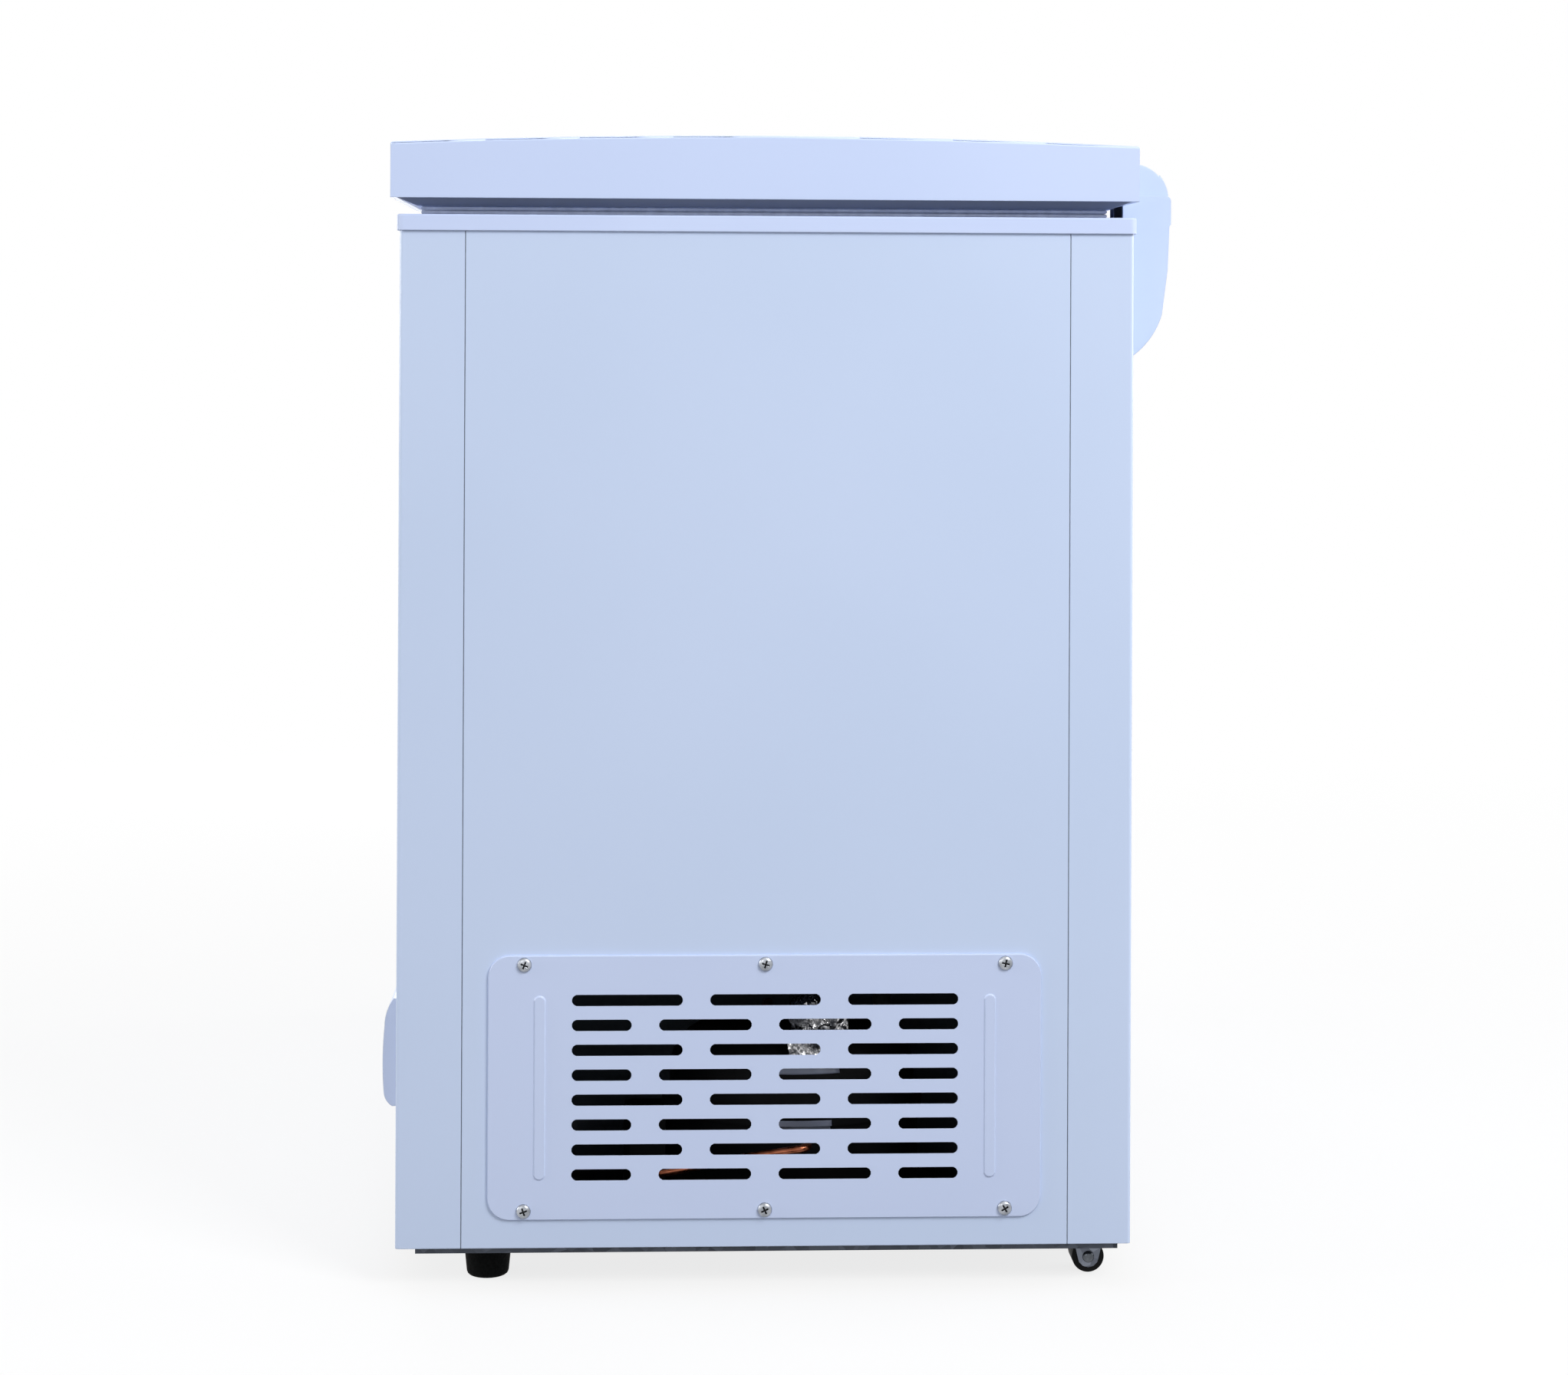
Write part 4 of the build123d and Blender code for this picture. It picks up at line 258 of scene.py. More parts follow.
FINISH = {
    LID_PAINT: ["lid_skin"],
    PANEL_PAINT: ["front_panel", "rear_panel", "left_end_panel", "right_end_panel"],
    VENT_PAINT: ["vent_cover"],
    TRIM_PLASTIC: ["top_trim"],
    HINGE_PLASTIC: ["left_hinge_cover", "right_hinge_cover", "left_hinge_hood", "right_hinge_hood"],
    CONTROL_PLASTIC_PAINTED_LIGHT: ["control_housing"],
    LINER_PLASTIC: ["lid_liner"],
    ALUMINIUM: ["inner_liner"],
    GALVANISED: [
        "left_roller_bracket",
        "right_roller_bracket",
        "left_hinge_base",
        "right_hinge_base",
        "left_hinge_leaf",
        "right_hinge_leaf",
        "hinge_backing_plates",
        "lid_backing_plates",
    ],
    RAIL_STEEL: ["base_plate", "left_rail", "right_rail"],
    PLATED: [
        "vent_cover_screws",
        "hinge_base_screws",
        "hinge_leaf_screws",
        "hinge_pins",
        "roller_axles",
        "compressor_bolts",
        "left_hinge_rod",
        "right_hinge_rod",
    ],
    FOAM: ["cabinet_foam", "lid_foam"],
    SPRING_STEEL: ["hinge_springs"],
    GASKET_RUBBER: ["lid_gasket"],
    BLACK_RUBBER: ["left_front_foot", "right_front_foot", "compressor_grommets"],
    BLACK_PLASTIC: ["left_roller", "right_roller", "terminal_cover", "thermostat", "cord_gland"],
    SHELL_PAINT: ["compressor"],
    BAY_PAINT: ["bay_panel"],
    COPPER: ["suction_pipe", "discharge_pipe", "process_pipe", "filter_drier", "capillary_tube"],
    FOIL: ["suction_sleeve"],
    TUBE_STEEL: ["condenser_tube"],
    TUBE_ALUMINIUM: ["evaporator_tube"],
    KNOB_PLASTIC: ["thermostat_knob"],
    LENS: ["indicator_lamps"],
    WIRE_COAT: ["basket"],
}
for finish, names in FINISH.items():
    for name in names:
        nodes[name].data.materials.clear()
        nodes[name].data.materials.append(finish)


# Mesh tools


def place(name, data, material, body):
    """Object for finished mesh or curve data, in its material, riding on a body."""
    if material:
        data.materials.append(material)
    made = bpy.data.objects.new(name, data)
    bpy.context.scene.collection.objects.link(made)
    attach(made, body)
    return made


def mesh_from(name, points, faces, sharp=40.0):
    """Smooth mesh with its sharper edges kept crisp."""
    data = bpy.data.meshes.new(name)
    work = bmesh.new()
    corners = [work.verts.new(point) for point in points]
    for face in faces:
        work.faces.new([corners[k] for k in face])
    bmesh.ops.remove_doubles(work, verts=work.verts, dist=WELD)
    bmesh.ops.recalc_face_normals(work, faces=work.faces)
    for face in work.faces:
        face.smooth = True
    for edge in work.edges:
        edge.smooth = len(edge.link_faces) < 2 or edge.calc_face_angle() < radians(sharp)
    work.to_mesh(data)
    work.free()
    return data


def rings(count, around, closed_ends=True):
    """Faces that join a stack of rings of points, with the first and last ring closed."""
    faces = []
    for row in range(count - 1):
        for k in range(around):
            a = row * around + k
            b = row * around + (k + 1) % around
            faces.append((a, b, b + around, a + around))
    if closed_ends:
        faces.append(tuple(range(around))[::-1])
        faces.append(tuple(range((count - 1) * around, count * around)))
    return faces


def grid(rows, columns):
    """Faces of an open sheet of points, whose rows have one point more than columns."""
    faces = []
    for row in range(rows):
        for k in range(columns):
            a = row * (columns + 1) + k
            faces.append((a, a + 1, a + columns + 2, a + columns + 1))
    return faces


def lathe(profile, origin, axis, around=TURNED_SIDES, closed_ends=True):
    """Points and faces of (radius, height) pairs, in millimetres, turned about an axis."""
    turn = Vector((0, 0, 1)).rotation_difference(Vector(axis)).to_matrix()
    points = []
    for radius, height in profile:
        for k in range(around):
            angle = 2 * pi * k / around
            spot = Vector((radius * cos(angle), radius * sin(angle), height)) * MM
            points.append(Vector(origin) + turn @ spot)
    return points, rings(len(profile), around, closed_ends)


def combined(*parts):
    """One list of points and faces from several."""
    points, faces = [], []
    for more_points, more_faces in parts:
        start = len(points)
        points += more_points
        faces += [tuple(k + start for k in face) for face in more_faces]
    return points, faces


def block(low, high):
    """Points and faces of an upright box."""
    corners = ((low[0], low[1]), (high[0], low[1]), (high[0], high[1]), (low[0], high[1]))
    return [(x, y, z) for z in (low[2], high[2]) for x, y in corners], rings(2, 4)


def route(curve, points, bend):
    """Adds a line to a curve: straight runs with round bends, points in millimetres."""
    spots = [Vector(point) * MM for point in points]
    bend *= MM
    stops = [(spots[0], None, None)]
    for before, corner, after in zip(spots, spots[1:], spots[2:]):
        back = (before - corner).normalized() * bend
        ahead = (after - corner).normalized() * bend
        stops.append((corner + back, None, corner + back * BEND_HANDLE))
        stops.append((corner + ahead, corner + ahead * BEND_HANDLE, None))
    stops.append((spots[-1], None, None))
    line = curve.splines.new("BEZIER")
    line.bezier_points.add(len(stops) - 1)
    for k, (spot, left, right) in enumerate(stops):
        point = line.bezier_points[k]
        point.co = spot
        last = stops[max(k - 1, 0)][0]
        following = stops[min(k + 1, len(stops) - 1)][0]
        point.handle_left_type = "FREE"
        point.handle_right_type = "FREE"
        point.handle_left = left or spot.lerp(last, RUN_HANDLE)
        point.handle_right = right or spot.lerp(following, RUN_HANDLE)


def tube_curve(name, radius, fine=10):
    """Empty curve whose lines become round bars of a radius in millimetres."""
    curve = bpy.data.curves.new(name, "CURVE")
    curve.dimensions = "3D"
    curve.bevel_depth = radius * MM
    curve.bevel_resolution = 5
    curve.resolution_u = fine
    curve.use_fill_caps = True
    return curve


def copper_pipe(name, points, bend, radius):
    """Round pipe along a route in the compressor bay, sizes in millimetres."""
    curve = tube_curve(name, radius)
    route(curve, points, bend)
    return place(name, curve, COPPER, "cabinet")


def cutting_object(name, data, material):
    """Object that rides on nothing: it serves a cut and is removed after it."""
    data.materials.append(material)
    made = bpy.data.objects.new(name, data)
    bpy.context.scene.collection.objects.link(made)
    return made


# Vent cover screws: pan heads with a cross recess, its walls painted dark as shade

SCREW_PROFILE = [(5.4, 0.0), (5.4, 0.5), (5.15, 1.2), (4.4, 1.95), (3.2, 2.4), (1.6, 2.58), (0.2, 2.6)]
SCREW_SPREAD = 0.1774
SCREW_RISE = 0.0904
FIRST_TURN = 0.35
TURN_STEP = 0.83
RECESS_LOW = (0.0011, -0.0029, -0.00065)
RECESS_HIGH = (0.0040, 0.0029, 0.00065)


def cross_screw(name, origin, turn):
    """Pan head on the vent cover's face, with its recess cut to a given turn."""
    turned = lathe(SCREW_PROFILE, origin, (1, 0, 0))
    head = cutting_object(name + "_head", mesh_from(name, *turned), PLATED)
    tools = []
    for k, quarter in enumerate((0, pi / 2)):
        points, faces = block(RECESS_LOW, RECESS_HIGH)
        spin = Matrix.Rotation(turn + quarter, 3, "X")
        points = [Vector(origin) + spin @ Vector(point) for point in points]
        tool_name = f"{name}_tool_{k}"
        # The recess walls take the tool's dark metal: painted shade in the cross.
        tool = cutting_object(tool_name, mesh_from(tool_name, points, faces), RECESS_PAINTED_SHADE)
        cut = head.modifiers.new(f"recess_{k}", "BOOLEAN")
        cut.object = tool
        cut.solver = "EXACT"
        cut.material_mode = "TRANSFER"
        tools.append(tool)
    seen = bpy.context.evaluated_depsgraph_get()
    data = bpy.data.meshes.new_from_object(head.evaluated_get(seen))
    for spare in tools + [head]:
        bpy.data.objects.remove(spare)
    return place(name, data, None, "cabinet")


screws = []
screw_spots = [(dy, dz) for dy in (-SCREW_SPREAD, 0.0, SCREW_SPREAD) for dz in (-SCREW_RISE, SCREW_RISE)]
for k, (dy, dz) in enumerate(screw_spots):
    origin = (VENT_FACE_X, MID_Y + dy, VENT_Z + dz)
    screws.append(cross_screw(f"vent_screw_{k + 1}", origin, FIRST_TURN + TURN_STEP * k))
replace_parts(screws[0], "vent_cover_screws")


# Feet, and the rivets that carry the rollers

FOOT_Y = -0.22025
FOOT_SIDES = 72
FOOT_PROFILE = [
    (0.5, 0.0), (13.0, 0.0), (14.2, 0.25), (15.1, 1.0), (15.6, 2.2),
    (15.8, 3.6), (17.7, 22.4), (18.0, 23.2), (18.0, 26.0), (0.5, 26.0),
]
ROLLER_Y = 0.22975
ROLLER_Z = 0.012
RIVET_PROFILE = [
    (0.2, -14.7), (2.2, -14.5), (3.6, -13.8), (4.3, -12.9), (4.4, -12.5), (3.0, -12.5),
    (3.0, 12.5), (4.4, 12.5), (4.3, 12.9), (3.6, 13.8), (2.2, 14.5), (0.2, 14.7),
]
rivets = []
for side, sx in (("left", -1), ("right", 1)):
    foot_name = f"{side}_foot_moulding"
    turned = lathe(FOOT_PROFILE, (sx * RAIL_X, FOOT_Y, 0), (0, 0, 1), FOOT_SIDES)
    foot = place(foot_name, mesh_from(foot_name, *turned), BLACK_RUBBER, "cabinet")
    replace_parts(foot, f"{side}_front_foot")
    rivets.append(lathe(RIVET_PROFILE, (sx * RAIL_X, ROLLER_Y, ROLLER_Z), (1, 0, 0)))
axles = place("roller_rivets", mesh_from("roller_rivets", *combined(*rivets)), RIVET_STEEL, "cabinet")
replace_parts(axles, "roller_axles")


# Lid liner: sloping border, gasket seat and shallow recess, formed from one sheet

LID_HALF = (458.0, 276.25)
LID_MID = -0.0165
LINER_SHEET = 1.5
LINER_CREASE = 28
CORNER_STEPS = 6
RING_POINTS = 4 * (CORNER_STEPS + 1)

# Rings of the visible side, as (inset from the lid's outline, level, corner radius) in millimetres.
LINER_FORM = [
    (48.0, 805.5, 14.0), (46.0, 805.4, 15.0), (44.6, 804.8, 16.0), (36.0, 797.9, 18.0), (34.7, 797.5, 19.0),
    (18.9, 797.5, 6.0), (17.9, 797.9, 6.0), (12.0, 800.2, 3.5), (4.8, 803.0, 0.5),
]
EDGE_INSET, _, EDGE_RADIUS = LINER_FORM[-1]
EDGE_TOP = 808.5

# The part of the border painted grey as shade under the lid's ends: its levels and its reach from the lid's
# ends, in metres, and its slope.
PAINTED_SHADE_LEVELS = (0.7976, 0.8032)
PAINTED_SHADE_REACH = 0.019
PAINTED_SHADE_SLOPE = -0.5


def rounded_ring(half_length, half_depth, radius, level):
    """Points round a rectangle with rounded corners about the lid's middle, sizes in millimetres."""
    points = []
    for cx, cy, start in ((1, 1, 0), (-1, 1, pi / 2), (-1, -1, pi), (1, -1, 1.5 * pi)):
        for k in range(CORNER_STEPS + 1):
            angle = start + pi / 2 * k / CORNER_STEPS
            x = cx * (half_length - radius) + radius * cos(angle)
            y = cy * (half_depth - radius) + radius * sin(angle)
            points.append((x * MM, LID_MID + y * MM, level * MM))
    return points


def liner_sheet():
    """Visible side of the liner, its upright edge and the side that faces the foam."""
    form = list(LINER_FORM)
    form += [(EDGE_INSET, EDGE_TOP, EDGE_RADIUS), (EDGE_INSET + LINER_SHEET, EDGE_TOP, EDGE_RADIUS)]
    for inset, level, radius in LINER_FORM[-2::-1]:
        form.append((inset + LINER_SHEET / 3, level + LINER_SHEET, radius))
    points = []
    for inset, level, radius in form:
        points += rounded_ring(LID_HALF[0] - inset, LID_HALF[1] - inset, radius, level)
    return points, rings(len(form), RING_POINTS)


liner_data = mesh_from("lid_liner_sheet", *liner_sheet(), LINER_CREASE)
liner = place("lid_liner_sheet", liner_data, LINER_PLASTIC, "lid")
# The border's downward faces at both ends take the grey plastic, as painted shade under the lid's edge.
liner_data.materials.append(BORDER_PAINTED_SHADE)
for face in liner_data.polygons:
    at_shaded_end = abs(face.center.x) > LID_HALF[0] * MM - PAINTED_SHADE_REACH and face.normal.z < PAINTED_SHADE_SLOPE
    if at_shaded_end and PAINTED_SHADE_LEVELS[0] < face.center.z < PAINTED_SHADE_LEVELS[1]:
        face.material_index = 1
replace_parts(liner, "lid_liner")


# Gasket: two soft lobes round the lid, welded at the corners

GASKET_HALF = (0.4305, 0.24875)
GASKET_TOP = 0.7975
GASKET_DROP = 0.0062
GASKET_CREASE = 60

# Lobes: distance from the section's middle and bulge in metres, and heights as shares of the drop.
LOBE_OUT = 0.0047
LOBE_BULGE = 0.0018
LOBE_MIDDLES = (0.25, 0.75)
LOBE_RISE = 0.245
LOBE_STEPS = 8


def gasket_outline():
    """(distance outward, height) pairs round the section, in metres."""
    outline = []
    for side, middles in ((1, LOBE_MIDDLES), (-1, LOBE_MIDDLES[::-1])):
        for middle in middles:
            for k in range(LOBE_STEPS + 1):
                angle = side * (pi / 2 - pi * k / LOBE_STEPS)
                out = side * (LOBE_OUT + LOBE_BULGE * cos(angle))
                outline.append((out, GASKET_DROP * (LOBE_RISE * sin(angle) - middle)))
    return outline


def gasket_loop():
    """The section carried round the four corners of the lid, back to its start."""
    outline = gasket_outline()
    points = []
    for cx, cy in ((1, -1), (1, 1), (-1, 1), (-1, -1)):
        for out, height in outline:
            x = cx * (GASKET_HALF[0] + out)
            y = LID_MID + cy * (GASKET_HALF[1] + out)
            points.append((x, y, GASKET_TOP + height))
    around = len(outline)
    faces = rings(4, around, closed_ends=False)
    for k in range(around):
        n = (k + 1) % around
        faces.append((3 * around + k, 3 * around + n, n, k))
    return points, faces


gasket_data = mesh_from("gasket_moulding", *gasket_loop(), GASKET_CREASE)
gasket = place("gasket_moulding", gasket_data, GASKET_RUBBER, "lid")
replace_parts(gasket, "lid_gasket")


# Compressor: an oval shell on its foot plate, with bare plates where the stickers are

SHELL_MIDDLE = (347.5, 10.25)
SHELL_RADII = (75.0, 97.5)
SHELL_SIDES = 96
SHELL_CREASE = 32

# (level, inset from the oval) pairs in millimetres; the upper cup starts after the band.
SHELL_LEVELS = [
    (43.0, 12.0), (44.0, 8.0), (47.5, 3.0), (53.0, 0.0), (111.0, 0.0), (111.0, -3.0), (116.0, -3.0),
    (116.0, 3.0), (142.0, 3.4), (150.0, 5.5), (158.0, 10.0), (165.0, 16.5), (171.0, 25.5), (175.0, 36.0),
    (177.2, 48.0), (178.0, 62.0),
]
UPPER_CUP = SHELL_LEVELS[7:]
FOOT_PLATE = ((0.2835, -0.10575, 0.040), (0.4115, 0.12625, 0.043))
PLATE_ROWS = 8
PLATE_COLUMNS = 12
PLATE_THICKNESS = 0.0004

# Bare plates: lower and upper level in millimetres, start and end angle, and how proud they stand.
BARE_PLATES = {
    "rating_plate_upper": (148.4, 157.5, -0.22, 0.36, 0.6),
    "rating_plate_lower": (102.0, 110.6, -0.22, 0.262, 0.6),
    "rating_plate_band": (111.2, 115.8, -0.22, 0.262, 3.5),
}


def shell_point(level, inset, angle):
    """Point on the oval shell, in metres."""
    x = SHELL_MIDDLE[0] + (SHELL_RADII[0] - inset) * cos(angle)
    y = SHELL_MIDDLE[1] + (SHELL_RADII[1] - inset) * sin(angle)
    return Vector((x, y, level)) * MM


def shell_inset(level):
    """Inset of the upper cup at a level, between the listed ones, and none below it."""
    for (z0, i0), (z1, i1) in zip(UPPER_CUP, UPPER_CUP[1:]):
        if z0 <= level <= z1:
            return i0 + (i1 - i0) * (level - z0) / (z1 - z0)
    return 0.0


def oval_shell():
    """Both cups of the shell, the band between them and the foot plate."""
    points = []
    for level, inset in SHELL_LEVELS:
        points += [shell_point(level, inset, 2 * pi * k / SHELL_SIDES) for k in range(SHELL_SIDES)]
    return combined((points, rings(len(SHELL_LEVELS), SHELL_SIDES)), block(*FOOT_PLATE))


def shell_plate(name, low, high, start, end, proud):
    """Bare plate bent round the shell between two levels and two angles."""
    points = []
    for row in range(PLATE_ROWS + 1):
        level = low + (high - low) * row / PLATE_ROWS
        for k in range(PLATE_COLUMNS + 1):
            angle = start + (end - start) * k / PLATE_COLUMNS
            points.append(shell_point(level, shell_inset(level) - proud, angle))
    data = mesh_from(name, points, grid(PLATE_ROWS, PLATE_COLUMNS))
    plate = place(name, data, PLATE_PAINT, "cabinet")
    thick = plate.modifiers.new("thickness", "SOLIDIFY")
    thick.thickness = PLATE_THICKNESS
    thick.offset = -1


shell_data = mesh_from("compressor_shell", *oval_shell(), SHELL_CREASE)
compressor = place("compressor_shell", shell_data, SHELL_PAINT, "cabinet")
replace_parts(compressor, "compressor")
for name, extent in BARE_PLATES.items():
    shell_plate(name, *extent)


# Pipes and filter drier, in millimetres

RISER_X = 401.6
SLEEVE_Z = 192
SUCTION_Y = 75.25
SHELL_STUB = (365.5, -9.75)
DISCHARGE_Y = 252.75
DISCHARGE_Z = 119
PROCESS_X = 434.5
DRIER_Y = 240.95
DRIER_Z = 150
CAPILLARY_Y = 115.25
CAPILLARY_Z = 232
FOAM_Z = 262.8

# Each pipe: the node it replaces, its radius, its bends and its route.
PIPES = {
    "suction_line": ("suction_pipe", 4.0, 9, [
        (RISER_X, SUCTION_Y, FOAM_Z), (RISER_X, SUCTION_Y, SLEEVE_Z), (RISER_X, SHELL_STUB[1], SLEEVE_Z),
        (*SHELL_STUB, SLEEVE_Z), (*SHELL_STUB, 174),
    ]),
    "discharge_line": ("discharge_pipe", 3.0, 14, [
        (392.5, DISCHARGE_Y, 262), (392.5, DISCHARGE_Y, DISCHARGE_Z), (347.5, DISCHARGE_Y, DISCHARGE_Z),
        (347.5, 104.5, DISCHARGE_Z),
    ]),
    "process_line": ("process_pipe", 3.2, 7, [
        (422.0, 18.25, 98), (PROCESS_X, 18.25, 98), (PROCESS_X, -37.75, 90), (PROCESS_X, -92.75, 80),
    ]),
    "capillary_line": ("capillary_tube", 1.2, 8, [
        (387.5, DRIER_Y, DRIER_Z), (RISER_X, DRIER_Y, DRIER_Z), (RISER_X, DRIER_Y, CAPILLARY_Z),
        (RISER_X, CAPILLARY_Y, CAPILLARY_Z), (RISER_X, CAPILLARY_Y, FOAM_Z),
    ]),
}
for name, (node, radius, bend, points) in PIPES.items():
    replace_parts(copper_pipe(name, points, bend, radius), node)

DRIER_START = (0.2975, 0.24095, 0.150)
DRIER_PROFILE = [
    (2.4, -6.0), (2.6, 0.0), (4.5, 1.2), (7.6, 4.2), (9.0, 8.0),
    (9.0, 76.0), (7.6, 79.8), (4.5, 82.8), (2.4, 84.0), (1.9, 90.0),
]
INLET_RADIUS = 2.5
INLET_BEND = 6
INLET_ROUTE = [
    (259.5, DISCHARGE_Y, DRIER_Z), (271.5, DISCHARGE_Y, DRIER_Z),
    (287.5, DRIER_Y, DRIER_Z), (301.5, DRIER_Y, DRIER_Z),
]
drier_data = mesh_from("drier_body", *lathe(DRIER_PROFILE, DRIER_START, (1, 0, 0)))
drier = place("drier_body", drier_data, COPPER, "cabinet")
copper_pipe("drier_inlet", INLET_ROUTE, INLET_BEND, INLET_RADIUS)
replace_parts(drier, "filter_drier")


# Suction pipe's wrapping: crushed foil with a loose tail, and foam on the riser

FOIL_START = 5.5
FOIL_LENGTH = 45.5
FOIL_NECK = 4.6
FOIL_SWELL = 6.6
FOIL_LEAST = 4.4
FOIL_PINCH = 0.12
FOIL_ROWS = 44
FOIL_AROUND = 56
FOIL_CREASE = 24
TAIL_ROWS = 30
TAIL_COLUMNS = 40
TAIL_CREASE = 20
TAIL_X = 415.5
TAIL_LEAN = 4.0
TAIL_Y = (4.0, 45.0)
TAIL_Z = (199.0, -41.0)
TAIL_THICKNESS = 0.00012
INSULATION_START = (0.4016, 0.07525, 0.1975)
INSULATION_PROFILE = [
    (4.2, 0.0), (6.2, 0.3), (6.6, 1.0), (6.6, 63.5), (6.2, 64.2), (4.2, 64.5), (4.2, 0.0),
]


def foil_wrap():
    """Sheet of foil crushed round the suction pipe and pinched at both ends."""
    points = []
    for row in range(FOIL_ROWS + 1):
        share = row / FOIL_ROWS
        y = FOIL_START + FOIL_LENGTH * share
        loose = min(1.0, min(share, 1 - share) / FOIL_PINCH)
        body = FOIL_NECK + FOIL_SWELL * loose ** 0.6
        for k in range(FOIL_AROUND):
            angle = 2 * pi * k / FOIL_AROUND
            spot = Vector((cos(angle) * 2.4, share * 7.0, sin(angle) * 2.4))
            crease = abs(noise.noise(spot * 1.6)) * 3.4
            crease += abs(noise.noise(spot * 4.1 + Vector((7, 3, 1)))) * 1.8
            radius = max(FOIL_LEAST, body + 1.6 - crease * loose)
            points.append(Vector((RISER_X + radius * cos(angle), y, SLEEVE_Z + radius * sin(angle))) * MM)
    return points, rings(FOIL_ROWS + 1, FOIL_AROUND, closed_ends=False)


def foil_tail():
    """Loose end of the foil that hangs from the sleeve over the shell's shoulder."""
    points = []
    for row in range(TAIL_ROWS + 1):
        share = row / TAIL_ROWS
        for k in range(TAIL_COLUMNS + 1):
            side = k / TAIL_COLUMNS
            spot = Vector((side * 6.0, share * 5.0, 2.7))
            crease = noise.noise(spot) * 2.6 + noise.noise(spot * 2.9 + Vector((5, 1, 2))) * 1.3
            x = TAIL_X + TAIL_LEAN * share + crease
            y = TAIL_Y[0] + TAIL_Y[1] * side + 2.0 * noise.noise(Vector((share * 4.0, side * 2.0, 9.1)))
            z = TAIL_Z[0] + TAIL_Z[1] * share + 3.0 * noise.noise(Vector((side * 5.0, share, 4.4)))
            points.append(Vector((x, y, z)) * MM)
    return points, grid(TAIL_ROWS, TAIL_COLUMNS)


tail = place("foil_tail", mesh_from("foil_tail", *foil_tail(), TAIL_CREASE), FOIL, "cabinet")
tail.modifiers.new("thickness", "SOLIDIFY").thickness = TAIL_THICKNESS
insulation = lathe(INSULATION_PROFILE, INSULATION_START, (0, 0, 1), closed_ends=False)
insulation_data = mesh_from("suction_insulation", *insulation)
place("suction_insulation", insulation_data, PIPE_FOAM, "cabinet")
foil = place("foil_sleeve", mesh_from("foil_sleeve", *foil_wrap(), FOIL_CREASE), FOIL, "cabinet")
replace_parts(foil, "suction_sleeve")


# Hanging basket of coated wire, in millimetres

BASKET_X = (132.5, 362.5)
BASKET_Y = (MID_Y / MM - 206.4, MID_Y / MM + 206.4)
BASKET_LOW = 602.6
RIM_Z = 786.6
RIM_R = 2.2
RIM_BEND = 14
WIRE_R = 1.6
WIRE_BEND = 12
WIRE_INSET = 1
WIRE_FINE = 6
CROSS_WIRES = 11
LONG_WIRES = 17
LONG_WIRE_RISE = 2.6
HOOK_X = (177.5, 317.5)
HOOK_Z = 793.5
HOOK_DROP = 40
HOOK_REACH = 20.8
HOOK_BEND = 3


def spread(low, high, count):
    """Middles of equal steps between two places."""
    return [low + (high - low) * (k + 0.5) / count for k in range(count)]


def wire_basket():
    """Curves of the thin wires and of the thick rim with its four hooks."""
    thin = tube_curve("basket_wires", WIRE_R, WIRE_FINE)
    thick_bar = tube_curve("basket_rim", RIM_R, WIRE_FINE)
    x0, x1 = BASKET_X[0] + RIM_R, BASKET_X[1] - RIM_R
    y0, y1 = BASKET_Y[0] + RIM_R, BASKET_Y[1] - RIM_R
    start = ((x0 + x1) / 2, y0)
    for curve, z in ((thick_bar, RIM_Z), (thin, (RIM_Z + BASKET_LOW) / 2)):
        loop = [start, (x1, y0), (x1, y1), (x0, y1), (x0, y0), start]
        route(curve, [(x, y, z) for x, y in loop], RIM_BEND)
    near, far = y0 + WIRE_INSET, y1 - WIRE_INSET
    for x in spread(x0, x1, CROSS_WIRES):
        wire = [(x, near, RIM_Z), (x, near, BASKET_LOW), (x, far, BASKET_LOW), (x, far, RIM_Z)]
        route(thin, wire, WIRE_BEND)
    near, far = x0 + WIRE_INSET, x1 - WIRE_INSET
    low = BASKET_LOW + LONG_WIRE_RISE
    for y in spread(y0, y1, LONG_WIRES):
        wire = [(near, y, RIM_Z), (near, y, low), (far, y, low), (far, y, RIM_Z)]
        route(thin, wire, WIRE_BEND)
    for x in HOOK_X:
        for y, way in ((y0, -1), (y1, 1)):
            hook = [(x, y, RIM_Z - HOOK_DROP), (x, y, HOOK_Z), (x, y + way * HOOK_REACH, HOOK_Z)]
            route(thick_bar, hook, HOOK_BEND)
    return thin, thick_bar


wires, rim = wire_basket()
basket = place("basket_wires", wires, WIRE_COAT, "basket")
place("basket_rim", rim, WIRE_COAT, "basket")
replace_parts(basket, "basket")


# Hinge springs as round wire, at rest length, in millimetres

SPRING_MIDDLE = (341.5, 281.037)
SPRING_FOOT = 737.4
SPRING_RISE = 35.2
SPRING_R = 5.5
SPRING_WIRE_R = 1.1
SPRING_TURNS = 5
TURN_POINTS = 24

springs = tube_curve("spring_wire", SPRING_WIRE_R, 2)
for sx in (-1, 1):
    coil = springs.splines.new("POLY")
    steps = SPRING_TURNS * TURN_POINTS
    coil.points.add(steps)
    for k in range(steps + 1):
        angle = 2 * pi * k / TURN_POINTS
        x = sx * SPRING_MIDDLE[0] + SPRING_R * cos(angle)
        y = SPRING_MIDDLE[1] + SPRING_R * sin(angle)
        coil.points[k].co = (x * MM, y * MM, (SPRING_FOOT + SPRING_RISE * k / steps) * MM, 1.0)
spring = place("spring_wire", springs, SPRING_STEEL, "cabinet")
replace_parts(spring, "hinge_springs")


# Control: a setting mark on the knob

KNOB_X = 0.3665
KNOB_Z = 0.16425
MARK_HALF_WIDTH = 0.0007
MARK_PROUD = (0.01325, 0.0131)
MARK_HEIGHTS = (0.006, 0.0158)

